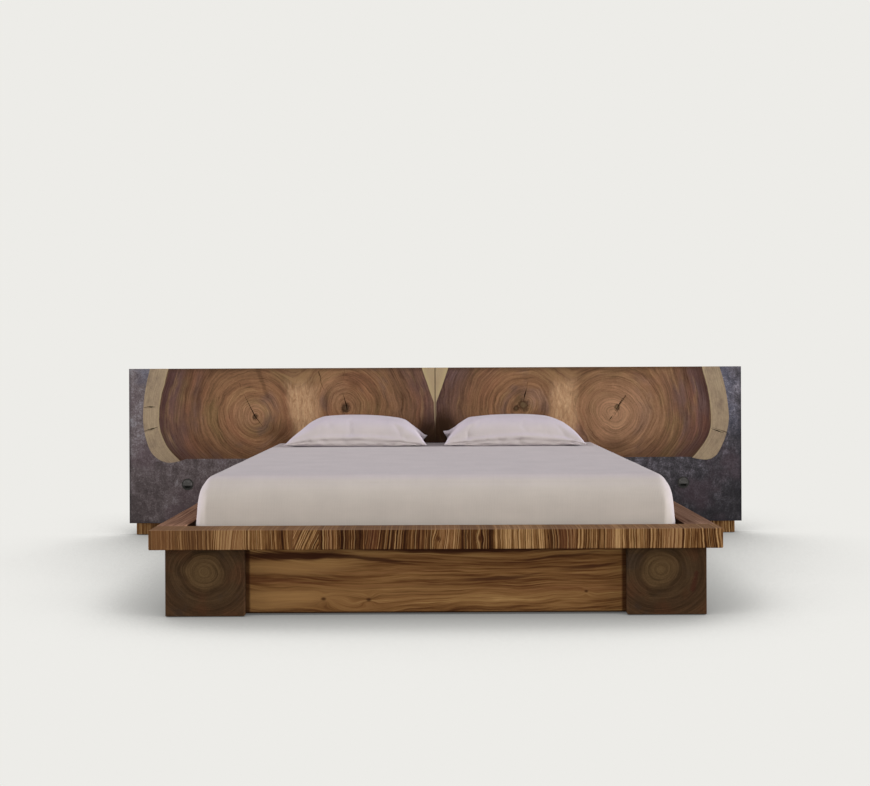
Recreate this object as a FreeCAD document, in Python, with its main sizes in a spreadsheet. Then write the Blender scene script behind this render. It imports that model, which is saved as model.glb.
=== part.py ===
import FreeCAD, Part
import math
import os
from types import SimpleNamespace

import Sketcher

# A king-size platform bed of log wood. The frame is X across the bed, Y from the foot to the headboard and
# Z up, with the origin on the floor under the middle of the whole bed. All sizes are in millimetres.

SIZES = {
    # The mattress and its room in the deck, from which the deck's width and length follow
    "mattress_width": 1930.0,
    "mattress_length": 2032.0,
    "mattress_thickness": 269.0,
    "mattress_corner": 45.0,
    "mattress_side_gap": 31.0,
    "mattress_foot_gap": 34.0,
    "mattress_head_gap": 18.0,
    # Deck: the rim of thick rails round the mattress
    "deck_thickness": 78.0,
    "rim_width": 116.0,
    "rail_ease": 5.0,
    # Base: four squared log legs with boards between them
    "leg_width": 310.0,
    "leg_depth": 310.0,
    "leg_height": 268.0,
    "leg_ease": 4.0,
    "deck_overhang": 52.0,
    "board_thickness": 30.0,
    "board_setback": 30.0,
    "board_lift": 5.0,
    "board_ease": 1.5,
    # Glides between the wood and the floor
    "glide_radius": 20.0,
    "glide_thickness": 3.0,
    "glide_inset": 45.0,
    # Dowels that locate the rails on the base
    "dowel_radius": 8.0,
    "dowel_length": 80.0,
    "dowel_clearance": 0.1,
    "dowel_end_gap": 1.0,
    # Slats, cleats and the centre beam under the mattress
    "slat_width": 95.0,
    "slat_thickness": 20.0,
    "slat_end_gap": 3.0,
    "slat_edge_gap": 18.0,
    "cleat_width": 38.0,
    "cleat_height": 60.0,
    "beam_width": 45.0,
    "beam_height": 120.0,
    "hanger_thickness": 3.0,
    "hanger_reach": 60.0,
    "centre_leg_width": 60.0,
    "centre_leg_end_margin": 406.0,
    "screw_radius": 2.5,
    "screw_length": 42.0,
    "screw_head_radius": 5.0,
    "screw_head_thickness": 3.0,
    "screw_clearance": 0.2,
    # Headboard: an inlaid log slab in each half, with a patinated sheet round it
    "headboard_width": 3600.0,
    "headboard_height": 908.0,
    "slab_thickness": 40.0,
    "slab_height": 531.0,
    "left_slab_margin": 81.0,
    "right_slab_margin": 72.0,
    "crack_width": 7.0,
    "crack_depth": 6.0,
    "sheet_metal_thickness": 3.0,
    "frame_thickness": 32.0,
    "frame_rail_width": 90.0,
    "end_stile_width": 90.0,
    "mid_stile_width": 90.0,
    "seam_stile_width": 60.0,
    "frame_ease": 1.5,
    "plinth_height": 68.0,
    "plinth_inset": 38.0,
    "plinth_setback": 10.0,
    "plinth_ease": 3.0,
    # Bolts: through the two seam stiles, and from the back of the headboard into the rear legs
    "seam_bolt_radius": 5.0,
    "seam_bolt_end_margin": 94.0,
    "leg_bolt_radius": 6.0,
    "leg_bolt_grip": 80.0,
    "leg_bolt_low": 115.0,
    "leg_bolt_high": 215.0,
    "bolt_clearance": 0.4,
    "bolt_head_radius": 10.5,
    "bolt_head_thickness": 7.0,
    "washer_radius": 14.0,
    "washer_thickness": 2.0,
    "recess_radius": 16.0,
    "recess_depth": 12.0,
    # Screws up through the plinth into the headboard
    "plinth_screw_radius": 4.0,
    "plinth_screw_length": 90.0,
    "plinth_screw_head_radius": 8.0,
    "plinth_screw_head_thickness": 5.0,
    "plinth_screw_recess": 12.0,
    "plinth_screw_inset": 160.0,
    # Cord grommets in the dark sheets, each with a cap that turns
    "grommet_end_margin": 342.0,
    "grommet_rise": 227.0,
    "liner_flange_radius": 33.5,
    "liner_flange_thickness": 2.5,
    "liner_outer_radius": 30.0,
    "liner_wall": 2.0,
    "liner_ledge": 3.0,
    "liner_ledge_thickness": 2.0,
    "liner_hole_clearance": 0.2,
    "cap_thickness": 5.0,
    "cap_clearance": 0.05,
    "cap_skirt_wall": 2.5,
    "cap_lip": 1.0,
    "cap_lip_thickness": 1.5,
    "cap_lip_gap": 0.2,
    "cap_ease": 1.0,
    "cord_slot_width": 34.0,
    "cord_slot_height": 9.5,
    "cord_slot_drop": 10.5,
    # The fitted sheet and the pillows
    "soft_gap": 0.3,
    "linen_thickness": 2.4,
    "pillow_width": 790.0,
    "pillow_depth": 400.0,
    "pillow_height": 170.0,
    "pillow_tip": 10.0,
    "pillow_belly": 34.0,
    "pillow_offset": 442.0,
    "pillow_head_gap": 24.0,
    # One overrun serves every through cut
    "overrun": 5.0,
}

# How many of each repeated piece
LONG_SLATS = 9
SHORT_SLATS = 2
SEAM_BOLTS = 3
PLINTH_SCREWS = 4

# The curved outer end of each slab, from its top edge down to its bottom edge: shares of the slab's reach
# and height, and each arc's bulge as a share of the straight line between its two ends.
LEFT_SLAB_SHARES = (
    (0.975, 1.0, 0.032),
    (1.0, 0.48, 0.05),
    (0.978, 0.11, 0.13),
    (0.912, -0.043, 0.04),
    (0.852, 0.0, 0.0),
)
RIGHT_SLAB_SHARES = (
    (0.968, 1.0, 0.034),
    (1.0, 0.443, 0.06),
    (0.967, 0.07, 0.15),
    (0.918, -0.032, 0.04),
    (0.868, 0.0, 0.0),
)

# The drying cracks in each slab's face: two ends and the widest place between them, as shares of the slab's
# reach and height, and the way in which the crack opens there.
LEFT_CRACK_SHARES = (
    ((0.657, 0.732), (0.617, 0.471), (0.588, 0.346), "across"),
    ((0.317, 0.734), (0.304, 0.589), (0.3, 0.501), "across"),
    ((0.99, 0.325), (0.97, 0.333), (0.946, 0.358), "up"),
    ((0.99, 0.582), (0.972, 0.578), (0.956, 0.577), "up"),
)
RIGHT_CRACK_SHARES = (
    ((0.641, 0.667), (0.628, 0.593), (0.609, 0.485), "across"),
    ((0.606, 0.467), (0.598, 0.434), (0.59, 0.399), "across"),
    ((0.313, 0.78), (0.306, 0.7), (0.3, 0.62), "across"),
    ((0.984, 0.26), (0.962, 0.285), (0.938, 0.313), "up"),
)

# The mattress from its bottom to its crown: height and drawn-in distance, as shares of its thickness.
MATTRESS_SHARES = (
    (0.0, 0.045),
    (0.12, 0.008),
    (0.35, 0.0),
    (0.62, 0.0),
    (0.8, 0.022),
    (0.9, 0.07),
    (0.957, 0.16),
    (0.985, 0.37),
    (1.0, 0.85),
)
CORNER_GROWTH_SHARE = 0.6

# The pillow from its middle to one end: how far out, how deep and how thick, as shares of its sizes.
PILLOW_SHARES = (
    (0.0, 0.925, 1.0),
    (0.3, 0.93, 0.985),
    (0.55, 0.94, 0.92),
    (0.74, 0.95, 0.77),
    (0.87, 0.965, 0.53),
    (0.95, 0.985, 0.27),
    (1.0, 1.0, 0.0),
)

# Places along a piece, as shares of its length from the middle
FRONT_BOARD_DOWEL_SHARE = 0.5
SIDE_BOARD_DOWEL_SHARE = 0.52

doc = FreeCAD.newDocument("LogBed")
sheet = doc.addObject("Spreadsheet::Sheet", "Sizes")
for row, (alias, value) in enumerate(SIZES.items(), start=1):
    sheet.set(f"A{row}", alias)
    sheet.set(f"B{row}", str(value))
    sheet.setAlias(f"B{row}", alias)
doc.recompute()


class Size:
    """A number together with the spreadsheet formula that gives it."""

    def __init__(self, formula, value):
        self.formula = formula
        self.value = value

    def joined(self, sign, other, value):
        return Size(f"({self.formula} {sign} {other.formula})", value)

    def __add__(self, other):
        other = as_size(other)
        return self.joined("+", other, self.value + other.value)

    def __sub__(self, other):
        other = as_size(other)
        return self.joined("-", other, self.value - other.value)

    def __mul__(self, other):
        other = as_size(other)
        return self.joined("*", other, self.value * other.value)

    def __truediv__(self, other):
        other = as_size(other)
        return self.joined("/", other, self.value / other.value)

    def __neg__(self):
        return Size(f"(0 - {self.formula})", -self.value)


def as_size(number):
    """A plain number as a Size, so that sums can mix the two."""
    return number if isinstance(number, Size) else Size(f"({float(number)!r})", float(number))


size = SimpleNamespace(**{alias: Size(f"Sizes.{alias}", float(sheet.get(alias))) for alias in SIZES})
zero = as_size(0)

# Main places, all from the named sizes
half_deck = size.mattress_width / 2 + size.mattress_side_gap + size.rim_width
deck_length = size.rim_width + size.mattress_foot_gap + size.mattress_length + size.mattress_head_gap
half_base = half_deck - size.deck_overhang
half_inner = half_base - size.leg_width
half_well = half_deck - size.rim_width
half_head = size.headboard_width / 2

y_front = -(deck_length + size.slab_thickness + size.frame_thickness) / 2
y_rim = y_front + size.rim_width
y_leg_front = y_front + size.deck_overhang
y_leg_inner = y_leg_front + size.leg_depth
y_face = y_front + deck_length
y_rear_leg = y_face - size.leg_depth
y_front_board = y_leg_front + size.board_setback
y_front_inside = y_front_board + size.board_thickness
y_rear_inside = y_face - size.board_thickness
y_core = y_face + size.sheet_metal_thickness
y_frame = y_face + size.slab_thickness
y_back = y_frame + size.frame_thickness

x_board = half_base - size.board_setback
x_inside = x_board - size.board_thickness
x_grommet = half_head - size.grommet_end_margin

z_base = size.glide_thickness
z_board = z_base + size.board_lift
z_deck = z_base + size.leg_height
z_rim_top = z_deck + size.deck_thickness
z_slat = z_deck - size.slat_thickness
z_beam = z_slat - size.beam_height
z_panel = z_base + size.plinth_height
z_head = z_panel + size.headboard_height
z_slab = z_head - size.slab_height
z_grommet = z_panel + size.grommet_rise

SIDES = (("left", -1), ("right", 1))
nodes = []


def node(piece, label):
    """Gives a finished piece its own name, under which its shape is written."""
    piece.Label = label
    nodes.append(piece)
    return piece


def bind(target, prop, value):
    """Ties a property to the spreadsheet formula of a size."""
    target.setExpression(prop, as_size(value).formula)


def place(target, x, y, z):
    """Ties the place of an object to sizes."""
    for letter, value in zip("xyz", (x, y, z)):
        bind(target, f"Placement.Base.{letter}", value)


def sided(side, near, far):
    """The low and high X of a span that lies from near to far out, on the left or the right side."""
    return (near, far) if side > 0 else (-far, -near)


def block(name, x, y, z):
    """A square-edged block between its low and high X, Y and Z."""
    piece = doc.addObject("Part::Box", name)
    for prop, (low, high) in zip(("Length", "Width", "Height"), (x, y, z)):
        bind(piece, prop, high - low)
    place(piece, x[0], y[0], z[0])
    return piece


def rod(name, centre, radius, length, direction):
    """A round bar from a point along +X, +Y or +Z."""
    turns = {
        "x": FreeCAD.Rotation(FreeCAD.Vector(0, 1, 0), 90),
        "y": FreeCAD.Rotation(FreeCAD.Vector(1, 0, 0), -90),
        "z": FreeCAD.Rotation(),
    }
    piece = doc.addObject("Part::Cylinder", name)
    bind(piece, "Radius", radius)
    bind(piece, "Height", length)
    piece.Placement = FreeCAD.Placement(FreeCAD.Vector(), turns[direction])
    place(piece, *centre)
    return piece


def hexagon(name, centre, radius, length, direction):
    """A hexagonal head or nut from a point along +X or +Y."""
    turns = {
        "x": FreeCAD.Rotation(FreeCAD.Vector(0, 1, 0), 90),
        "y": FreeCAD.Rotation(FreeCAD.Vector(1, 0, 0), -90),
    }
    piece = doc.addObject("Part::Prism", name)
    piece.Polygon = 6
    bind(piece, "Circumradius", radius)
    bind(piece, "Height", length)
    piece.Placement = FreeCAD.Placement(FreeCAD.Vector(), turns[direction])
    place(piece, *centre)
    return piece


def fused(name, pieces):
    """One solid of several that meet."""
    piece = doc.addObject("Part::MultiFuse", name)
    piece.Shapes = pieces
    return piece


def grouped(name, pieces):
    """Several separate solids as one object."""
    piece = doc.addObject("Part::Compound", name)
    piece.Links = pieces
    return piece


def cut(name, base, tool):
    """The base with the tool's space taken out."""
    piece = doc.addObject("Part::Cut", name)
    piece.Base = base
    piece.Tool = tool
    return piece


def origin_plane(body, role):
    """One of the three planes through a body's own origin."""
    return next(plane for plane in body.Origin.OriginFeatures if plane.Role == role)


def new_sketch(body, name, role):
    """A sketch on one of its body's own origin planes."""
    sketch = body.newObject("Sketcher::SketchObject", name)
    sketch.AttachmentSupport = [(origin_plane(body, role), "")]
    sketch.MapMode = "FlatFace"
    return sketch


def bulged_edge(start, end, bulge):
    """A straight edge, or an arc that stands out to the left of its direction by a share of its chord.

    A sketch keeps its arcs anticlockwise, so a clockwise one is drawn from its other end."""
    first = FreeCAD.Vector(start[0].value, start[1].value, 0)
    last = FreeCAD.Vector(end[0].value, end[1].value, 0)
    if not bulge:
        return Part.LineSegment(first, last)
    chord = last - first
    middle = (first + last) / 2 + FreeCAD.Vector(-chord.y, chord.x, 0) * bulge
    if bulge > 0:
        first, last = last, first
    return Part.Arc(first, middle, last)


def bulge_radius(start, end, bulge):
    """The radius formula of an arc that stands out by a share of its chord."""
    across = end[0] - start[0]
    along = end[1] - start[1]
    chord = math.hypot(across.value, along.value)
    squares = f"({across.formula}) ^ 2 + ({along.formula}) ^ 2"
    share = 1 / (8 * abs(bulge)) + abs(bulge) / 2
    return Size(f"(sqrt({squares}) * {share!r})", chord * share)


def closed_outline(sketch, corners, bulges):
    """A closed outline through corners, each corner and each arc's radius tied to sizes."""
    count = len(corners)
    ends = []
    for index, (corner, bulge) in enumerate(zip(corners, bulges)):
        following = corners[(index + 1) % count]
        sketch.addGeometry(bulged_edge(corner, following, bulge), False)
        edge = sketch.Geometry[index]
        here = FreeCAD.Vector(corner[0].value, corner[1].value, 0)
        forward = edge.StartPoint.distanceToPoint(here) < edge.EndPoint.distanceToPoint(here)
        ends.append((1, 2) if forward else (2, 1))
    for index, (corner, bulge) in enumerate(zip(corners, bulges)):
        following = (index + 1) % count
        join = Sketcher.Constraint("Coincident", index, ends[index][1], following, ends[following][0])
        sketch.addConstraint(join)
        for kind, value in zip(("DistanceX", "DistanceY"), corner):
            rule = Sketcher.Constraint(kind, -1, 1, index, ends[index][0], value.value)
            number = sketch.addConstraint(rule)
            bind(sketch, f"Constraints[{number}]", value)
        if bulge:
            radius = bulge_radius(corner, corners[following], bulge)
            number = sketch.addConstraint(Sketcher.Constraint("Radius", index, radius.value))
            bind(sketch, f"Constraints[{number}]", radius)


def eased_block(name, x, y, z, ease):
    """A block with all its edges rounded over: a sketched rectangle, a pad and a fillet."""
    body = doc.addObject("PartDesign::Body", name)
    sketch = new_sketch(body, f"{name}_outline", "XY_Plane")
    length = x[1] - x[0]
    width = y[1] - y[0]
    corners = ((zero, zero), (length, zero), (length, width), (zero, width))
    closed_outline(sketch, corners, (0, 0, 0, 0))
    pad = body.newObject("PartDesign::Pad", f"{name}_pad")
    pad.Profile = sketch
    bind(pad, "Length", z[1] - z[0])
    doc.recompute()
    fillet = body.newObject("PartDesign::Fillet", f"{name}_ease")
    fillet.Base = (pad, ["Edge1"])
    fillet.UseAllEdges = True
    bind(fillet, "Radius", ease)
    place(body, x[0], y[0], z[0])
    return body


def dowel_places():
    """The centres of the dowels between the rim and the base, as X and Y."""
    y_foot_leg = (y_leg_front + y_rim) / 2
    y_foot_board = y_front_board + size.board_thickness / 2
    x_side_leg = (half_well + half_base) / 2
    x_side_board = x_board - size.board_thickness / 2
    y_middle = (y_leg_inner + y_rear_leg) / 2
    y_reach = (y_rear_leg - y_leg_inner) / 2 * SIDE_BOARD_DOWEL_SHARE
    places = []
    for _, side in SIDES:
        places.append(((half_base - size.leg_width / 2) * side, y_foot_leg))
        places.append((half_inner * FRONT_BOARD_DOWEL_SHARE * side, y_foot_board))
        places.append((x_side_leg * side, (y_rim + y_leg_inner) / 2))
        places.append((x_side_board * side, y_middle - y_reach))
        places.append((x_side_board * side, y_middle + y_reach))
        places.append((x_side_leg * side, y_rear_leg + size.leg_depth / 2))
    return places


def make_dowels():
    """The dowels, and the slightly wider and longer holes that they sit in."""
    dowels = []
    holes = []
    reach = size.dowel_length / 2
    for index, (x, y) in enumerate(dowel_places()):
        start = (x, y, z_deck - reach)
        dowels.append(rod(f"dowel_{index}", start, size.dowel_radius, size.dowel_length, "z"))
        low = z_deck - reach - size.dowel_end_gap
        hole_radius = size.dowel_radius + size.dowel_clearance
        hole_length = size.dowel_length + size.dowel_end_gap * 2
        holes.append(rod(f"dowel_hole_{index}", (x, y, low), hole_radius, hole_length, "z"))
    node(grouped("dowels", dowels), "rim_dowels")
    return grouped("dowel_holes", holes)


def make_deck(dowel_holes):
    """The foot rail across the front and the two side rails that butt against it."""
    height = (z_deck, z_rim_top)
    foot = eased_block("foot_blank", (-half_deck, half_deck), (y_front, y_rim), height, size.rail_ease)
    node(cut("foot_cut", foot, dowel_holes), "foot_rail")
    for word, side in SIDES:
        span = sided(side, half_well, half_deck)
        rail = eased_block(f"side_blank_{word}", span, (y_rim, y_face), height, size.rail_ease)
        node(cut(f"side_cut_{word}", rail, dowel_holes), f"side_rail_{word}")


def make_legs(dowel_holes, bolt_holes):
    """Four squared log blocks under the corners of the deck."""
    ends = (("front", y_leg_front, y_leg_inner), ("rear", y_rear_leg, y_face))
    for end, low, high in ends:
        for word, side in SIDES:
            name = f"{end}_{word}"
            span = sided(side, half_inner, half_base)
            leg = eased_block(f"leg_blank_{name}", span, (low, high), (z_base, z_deck), size.leg_ease)
            leg = cut(f"leg_dowelled_{name}", leg, dowel_holes)
            if end == "rear":
                leg = cut(f"leg_bored_{name}", leg, bolt_holes)
            node(leg, f"log_leg_{name}")


def make_boards(dowel_holes):
    """The boards that close the base between the legs, a little clear of the floor."""
    height = (z_board, z_deck)
    ease = size.board_ease
    between = (-half_inner, half_inner)
    front = eased_block("front_board", between, (y_front_board, y_front_inside), height, ease)
    node(cut("front_board_cut", front, dowel_holes), "kick_board_front")
    node(eased_block("rear_board", between, (y_rear_inside, y_face), height, ease), "kick_board_rear")
    for word, side in SIDES:
        span = sided(side, x_inside, x_board)
        board = eased_block(f"side_board_{word}", span, (y_leg_inner, y_rear_leg), height, ease)
        node(cut(f"side_board_cut_{word}", board, dowel_holes), f"kick_board_{word}")


def spaced(low, high, count):
    """The low edges of evenly spaced slats between two ends."""
    first = low + size.slat_edge_gap
    last = high - size.slat_edge_gap - size.slat_width
    return [first + (last - first) * index / (count - 1) for index in range(count)]


def slat_rows():
    """The low Y and the half length of every slat: long ones between the legs, short ones beside them."""
    long_half = x_inside - size.slat_end_gap
    short_half = half_inner - size.slat_end_gap
    rows = [("long", y, long_half) for y in spaced(y_leg_inner, y_rear_leg, LONG_SLATS)]
    rows += [("short", y, short_half) for y in spaced(y_front_inside, y_leg_inner, SHORT_SLATS)]
    rows += [("short", y, short_half) for y in spaced(y_rear_leg, y_rear_inside, SHORT_SLATS)]
    return rows


def make_screws():
    """Three screws down through each slat, with the holes that they sit in."""
    screws = []
    holes = []
    for row, (_, y, half) in enumerate(slat_rows()):
        outer = half + size.slat_end_gap - size.cleat_width / 2
        for column, x in enumerate((-outer, zero, outer)):
            name = f"{row}_{column}"
            middle = y + size.slat_width / 2
            head = (x, middle, z_deck - size.screw_head_thickness)
            tip = (x, middle, z_deck - size.screw_length)
            shank_rod = rod(f"screw_shank_{name}", tip, size.screw_radius, size.screw_length, "z")
            head_rod = rod(
                f"screw_head_{name}", head, size.screw_head_radius, size.screw_head_thickness, "z"
            )
            screws.append(fused(f"screw_{name}", [shank_rod, head_rod]))
            bore = rod(
                f"screw_bore_{name}",
                (x, middle, tip[2] - size.screw_clearance),
                size.screw_radius + size.screw_clearance,
                size.screw_length + size.overrun,
                "z",
            )
            seat = rod(
                f"screw_seat_{name}",
                (x, middle, head[2] - size.screw_clearance),
                size.screw_head_radius + size.screw_clearance,
                size.screw_head_thickness + size.overrun,
                "z",
            )
            holes.append(fused(f"screw_hole_{name}", [bore, seat]))
    node(grouped("screws", screws), "slat_screws")
    return grouped("screw_holes", holes)


def make_slats(screw_holes):
    """The slats, level with the underside of the deck's rails."""
    groups = {"long": [], "short": []}
    for index, (kind, y, half) in enumerate(slat_rows()):
        span_y = (y, y + size.slat_width)
        groups[kind].append(block(f"slat_{kind}_{index}", (-half, half), span_y, (z_slat, z_deck)))
    for kind, pieces in groups.items():
        node(cut(f"{kind}_slats_cut", grouped(f"{kind}_slats", pieces), screw_holes), f"slats_{kind}")


def make_cleats(screw_holes):
    """The strips on the boards and legs that carry the ends of the slats."""
    height = (z_slat - size.cleat_height, z_slat)
    for word, side in SIDES:
        span = sided(side, x_inside - size.cleat_width, x_inside)
        strip = block(f"side_strip_{word}", span, (y_leg_inner, y_rear_leg), height)
        node(cut(f"side_strip_cut_{word}", strip, screw_holes), f"side_cleat_{word}")
    short = []
    for word, side in SIDES:
        span = sided(side, half_inner - size.cleat_width, half_inner)
        short.append(block(f"front_strip_{word}", span, (y_front_inside, y_leg_inner), height))
        short.append(block(f"rear_strip_{word}", span, (y_rear_leg, y_rear_inside), height))
    node(cut("leg_strips_cut", grouped("leg_strips", short), screw_holes), "leg_cleats")


def make_centre_support(screw_holes):
    """The beam under the middle of the slats, its two steel hangers and its three legs."""
    half_beam = size.beam_width / 2
    low = y_front_inside + size.hanger_thickness
    high = y_rear_inside - size.hanger_thickness
    beam = block("beam_blank", (-half_beam, half_beam), (low, high), (z_beam, z_slat))
    node(cut("beam_cut", beam, screw_holes), "centre_beam")
    half_hanger = half_beam + size.hanger_thickness
    hangers = []
    saddle = z_beam - size.hanger_thickness
    front_end = low + size.hanger_reach
    rear_end = high - size.hanger_reach
    ends = (
        ("front", (y_front_inside, front_end), (low, front_end + size.overrun)),
        ("rear", (rear_end, y_rear_inside), (rear_end - size.overrun, high)),
    )
    for word, outside, inside in ends:
        shell = block(f"hanger_shell_{word}", (-half_hanger, half_hanger), outside, (saddle, z_slat))
        space = block(
            f"hanger_space_{word}", (-half_beam, half_beam), inside, (z_beam, z_slat + size.overrun)
        )
        hangers.append(cut(f"hanger_{word}", shell, space))
    node(grouped("hangers", hangers), "beam_hangers")
    half_leg = size.centre_leg_width / 2
    first = low + size.centre_leg_end_margin
    last = high - size.centre_leg_end_margin
    feet = []
    for word, y in (("front", first), ("middle", (low + high) / 2), ("rear", last)):
        leg = eased_block(
            f"centre_leg_{word}_blank",
            (-half_leg, half_leg),
            (y - half_leg, y + half_leg),
            (z_base, z_beam),
            size.board_ease,
        )
        node(leg, f"centre_leg_{word}")
        spot = (zero, y, zero)
        feet.append(rod(f"centre_foot_{word}", spot, size.glide_radius, size.glide_thickness, "z"))
    node(grouped("centre_feet", feet), "centre_leg_glides")


def make_glides():
    """Round felt glides under the legs and under the headboard's plinth."""
    leg_glides = []
    for _, side in SIDES:
        for base in (half_inner + size.glide_inset, half_base - size.glide_inset):
            for y in (
                y_leg_front + size.glide_inset,
                y_leg_inner - size.glide_inset,
                y_rear_leg + size.glide_inset,
                y_face - size.glide_inset,
            ):
                name = f"leg_glide_{len(leg_glides)}"
                spot = (base * side, y, zero)
                leg_glides.append(rod(name, spot, size.glide_radius, size.glide_thickness, "z"))
    node(grouped("leg_glide_set", leg_glides), "leg_glides")
    plinth_glides = []
    y = (y_face + size.plinth_setback + y_back) / 2
    outer = half_head - size.plinth_inset - size.glide_inset
    for _, side in SIDES:
        for x in (size.glide_inset, (size.glide_inset + outer) / 2, outer):
            name = f"plinth_glide_{len(plinth_glides)}"
            spot = (x * side, y, zero)
            plinth_glides.append(rod(name, spot, size.glide_radius, size.glide_thickness, "z"))
    node(grouped("plinth_glide_set", plinth_glides), "plinth_glides")


def leg_bolt_places():
    """The X and Z of the bolts from the headboard into the rear legs."""
    x = half_base - size.leg_width / 2
    return [(x * side, z) for _, side in SIDES for z in (size.leg_bolt_low, size.leg_bolt_high)]


def make_leg_bolts():
    """The bolts into the rear legs, with washers, and the stepped holes for them."""
    bolts = []
    washers = []
    holes = []
    seat = y_back - size.recess_depth
    length = seat - y_face + size.leg_bolt_grip
    tip = seat - length
    bore = size.leg_bolt_radius + size.bolt_clearance
    for index, (x, z) in enumerate(leg_bolt_places()):
        shank = rod(
            f"leg_bolt_shank_{index}",
            (x, tip, z),
            size.leg_bolt_radius,
            length + size.washer_thickness + size.bolt_head_thickness / 2,
            "y",
        )
        head_place = (x, seat + size.washer_thickness, z)
        head = hexagon(
            f"leg_bolt_head_{index}", head_place, size.bolt_head_radius, size.bolt_head_thickness, "y"
        )
        bolts.append(fused(f"leg_bolt_{index}", [shank, head]))
        disc = rod(f"washer_disc_{index}", (x, seat, z), size.washer_radius, size.washer_thickness, "y")
        eye = rod(
            f"washer_eye_{index}",
            (x, seat - size.overrun, z),
            bore,
            size.washer_thickness + size.overrun * 2,
            "y",
        )
        washers.append(cut(f"leg_washer_{index}", disc, eye))
        through = rod(
            f"leg_bolt_bore_{index}", (x, tip - size.bolt_clearance, z), bore, length + size.overrun, "y"
        )
        recess_length = size.recess_depth + size.overrun
        recess = rod(f"leg_bolt_recess_{index}", (x, seat, z), size.recess_radius, recess_length, "y")
        holes.append(fused(f"leg_bolt_hole_{index}", [through, recess]))
    node(grouped("leg_bolt_set", bolts), "headboard_bolts")
    node(grouped("leg_washer_set", washers), "headboard_washers")
    return grouped("leg_bolt_holes", holes)


def make_seam_bolts():
    """The bolts that draw the two halves of the headboard together, with nuts and washers."""
    bolts = []
    nuts = []
    washers = []
    holes = []
    y = y_frame + size.frame_thickness / 2
    lowest = z_panel + size.frame_rail_width + size.seam_bolt_end_margin
    highest = z_head - size.frame_rail_width - size.seam_bolt_end_margin
    half = size.seam_stile_width
    bore = size.seam_bolt_radius + size.bolt_clearance
    head = half + size.washer_thickness
    for index in range(SEAM_BOLTS):
        z = lowest + (highest - lowest) * index / (SEAM_BOLTS - 1)
        length = (half + size.washer_thickness + size.bolt_head_thickness) * 2
        shank = rod(f"seam_shank_{index}", (-length / 2, y, z), size.seam_bolt_radius, length, "x")
        place_of_head = (-head - size.bolt_head_thickness, y, z)
        cap = hexagon(
            f"seam_head_{index}", place_of_head, size.bolt_head_radius, size.bolt_head_thickness, "x"
        )
        bolts.append(fused(f"seam_bolt_{index}", [shank, cap]))
        nut_blank = hexagon(
            f"seam_nut_blank_{index}", (head, y, z), size.bolt_head_radius, size.bolt_head_thickness, "x"
        )
        eye = rod(f"seam_eye_{index}", (-length, y, z), bore, length * 2, "x")
        nuts.append(cut(f"seam_nut_{index}", nut_blank, eye))
        for word, start in (("head", -head), ("nut", half)):
            disc = rod(
                f"seam_disc_{word}_{index}", (start, y, z), size.washer_radius, size.washer_thickness, "x"
            )
            washers.append(cut(f"seam_washer_{word}_{index}", disc, eye))
        holes.append(eye)
    node(grouped("seam_bolt_set", bolts), "seam_bolts")
    node(grouped("seam_nut_set", nuts), "seam_nuts")
    node(grouped("seam_washer_set", washers), "seam_washers")
    return grouped("seam_holes", holes)


def make_plinth_screws():
    """Screws up through the plinth into the headboard's lower rails, and their holes."""
    screws = []
    holes = []
    y = y_frame + size.frame_thickness / 2
    first = size.plinth_screw_inset
    last = half_head - size.plinth_inset - size.plinth_screw_inset
    seat = z_base + size.plinth_screw_recess
    for _, side in SIDES:
        for index in range(PLINTH_SCREWS):
            x = (first + (last - first) * index / (PLINTH_SCREWS - 1)) * side
            name = len(screws)
            head_low = seat - size.plinth_screw_head_thickness
            spot = (x, y, head_low)
            shank = rod(
                f"plinth_shank_{name}", spot, size.plinth_screw_radius, size.plinth_screw_length, "z"
            )
            head = rod(
                f"plinth_head_{name}",
                (x, y, head_low),
                size.plinth_screw_head_radius,
                size.plinth_screw_head_thickness,
                "z",
            )
            screws.append(fused(f"plinth_screw_{name}", [shank, head]))
            bore = rod(
                f"plinth_bore_{name}",
                (x, y, head_low),
                size.plinth_screw_radius + size.screw_clearance,
                size.plinth_screw_length + size.screw_clearance,
                "z",
            )
            mouth = rod(
                f"plinth_mouth_{name}",
                (x, y, z_base - size.overrun),
                size.plinth_screw_head_radius + size.screw_clearance,
                size.plinth_screw_recess + size.overrun,
                "z",
            )
            holes.append(fused(f"plinth_hole_{name}", [bore, mouth]))
    node(grouped("plinth_screw_set", screws), "plinth_screws")
    return grouped("plinth_holes", holes)


def upright_plate(name, corners, bulges, low, high):
    """A plate with an outline in X and height above the slab's lower edge, from a low to a high Y."""
    body = doc.addObject("PartDesign::Body", name)
    sketch = new_sketch(body, f"{name}_outline", "XZ_Plane")
    closed_outline(sketch, corners, bulges)
    pad = body.newObject("PartDesign::Pad", f"{name}_pad")
    pad.Profile = sketch
    pad.Reversed = True
    bind(pad, "Length", high - low)
    place(body, zero, low, z_slab)
    return body


def make_slab(word, side, reach, shares):
    """One log slab, cut across the log, with a straight top, bottom and seam and a round outer end."""
    curve = [(reach * out * side, size.slab_height * up) for out, up, _ in shares]
    corners = [(zero, size.slab_height), *curve, (zero, zero)]
    bulges = [0, *(bulge * side for _, _, bulge in shares), 0]
    return upright_plate(f"slab_{word}", corners, bulges, y_face, y_frame)


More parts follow.
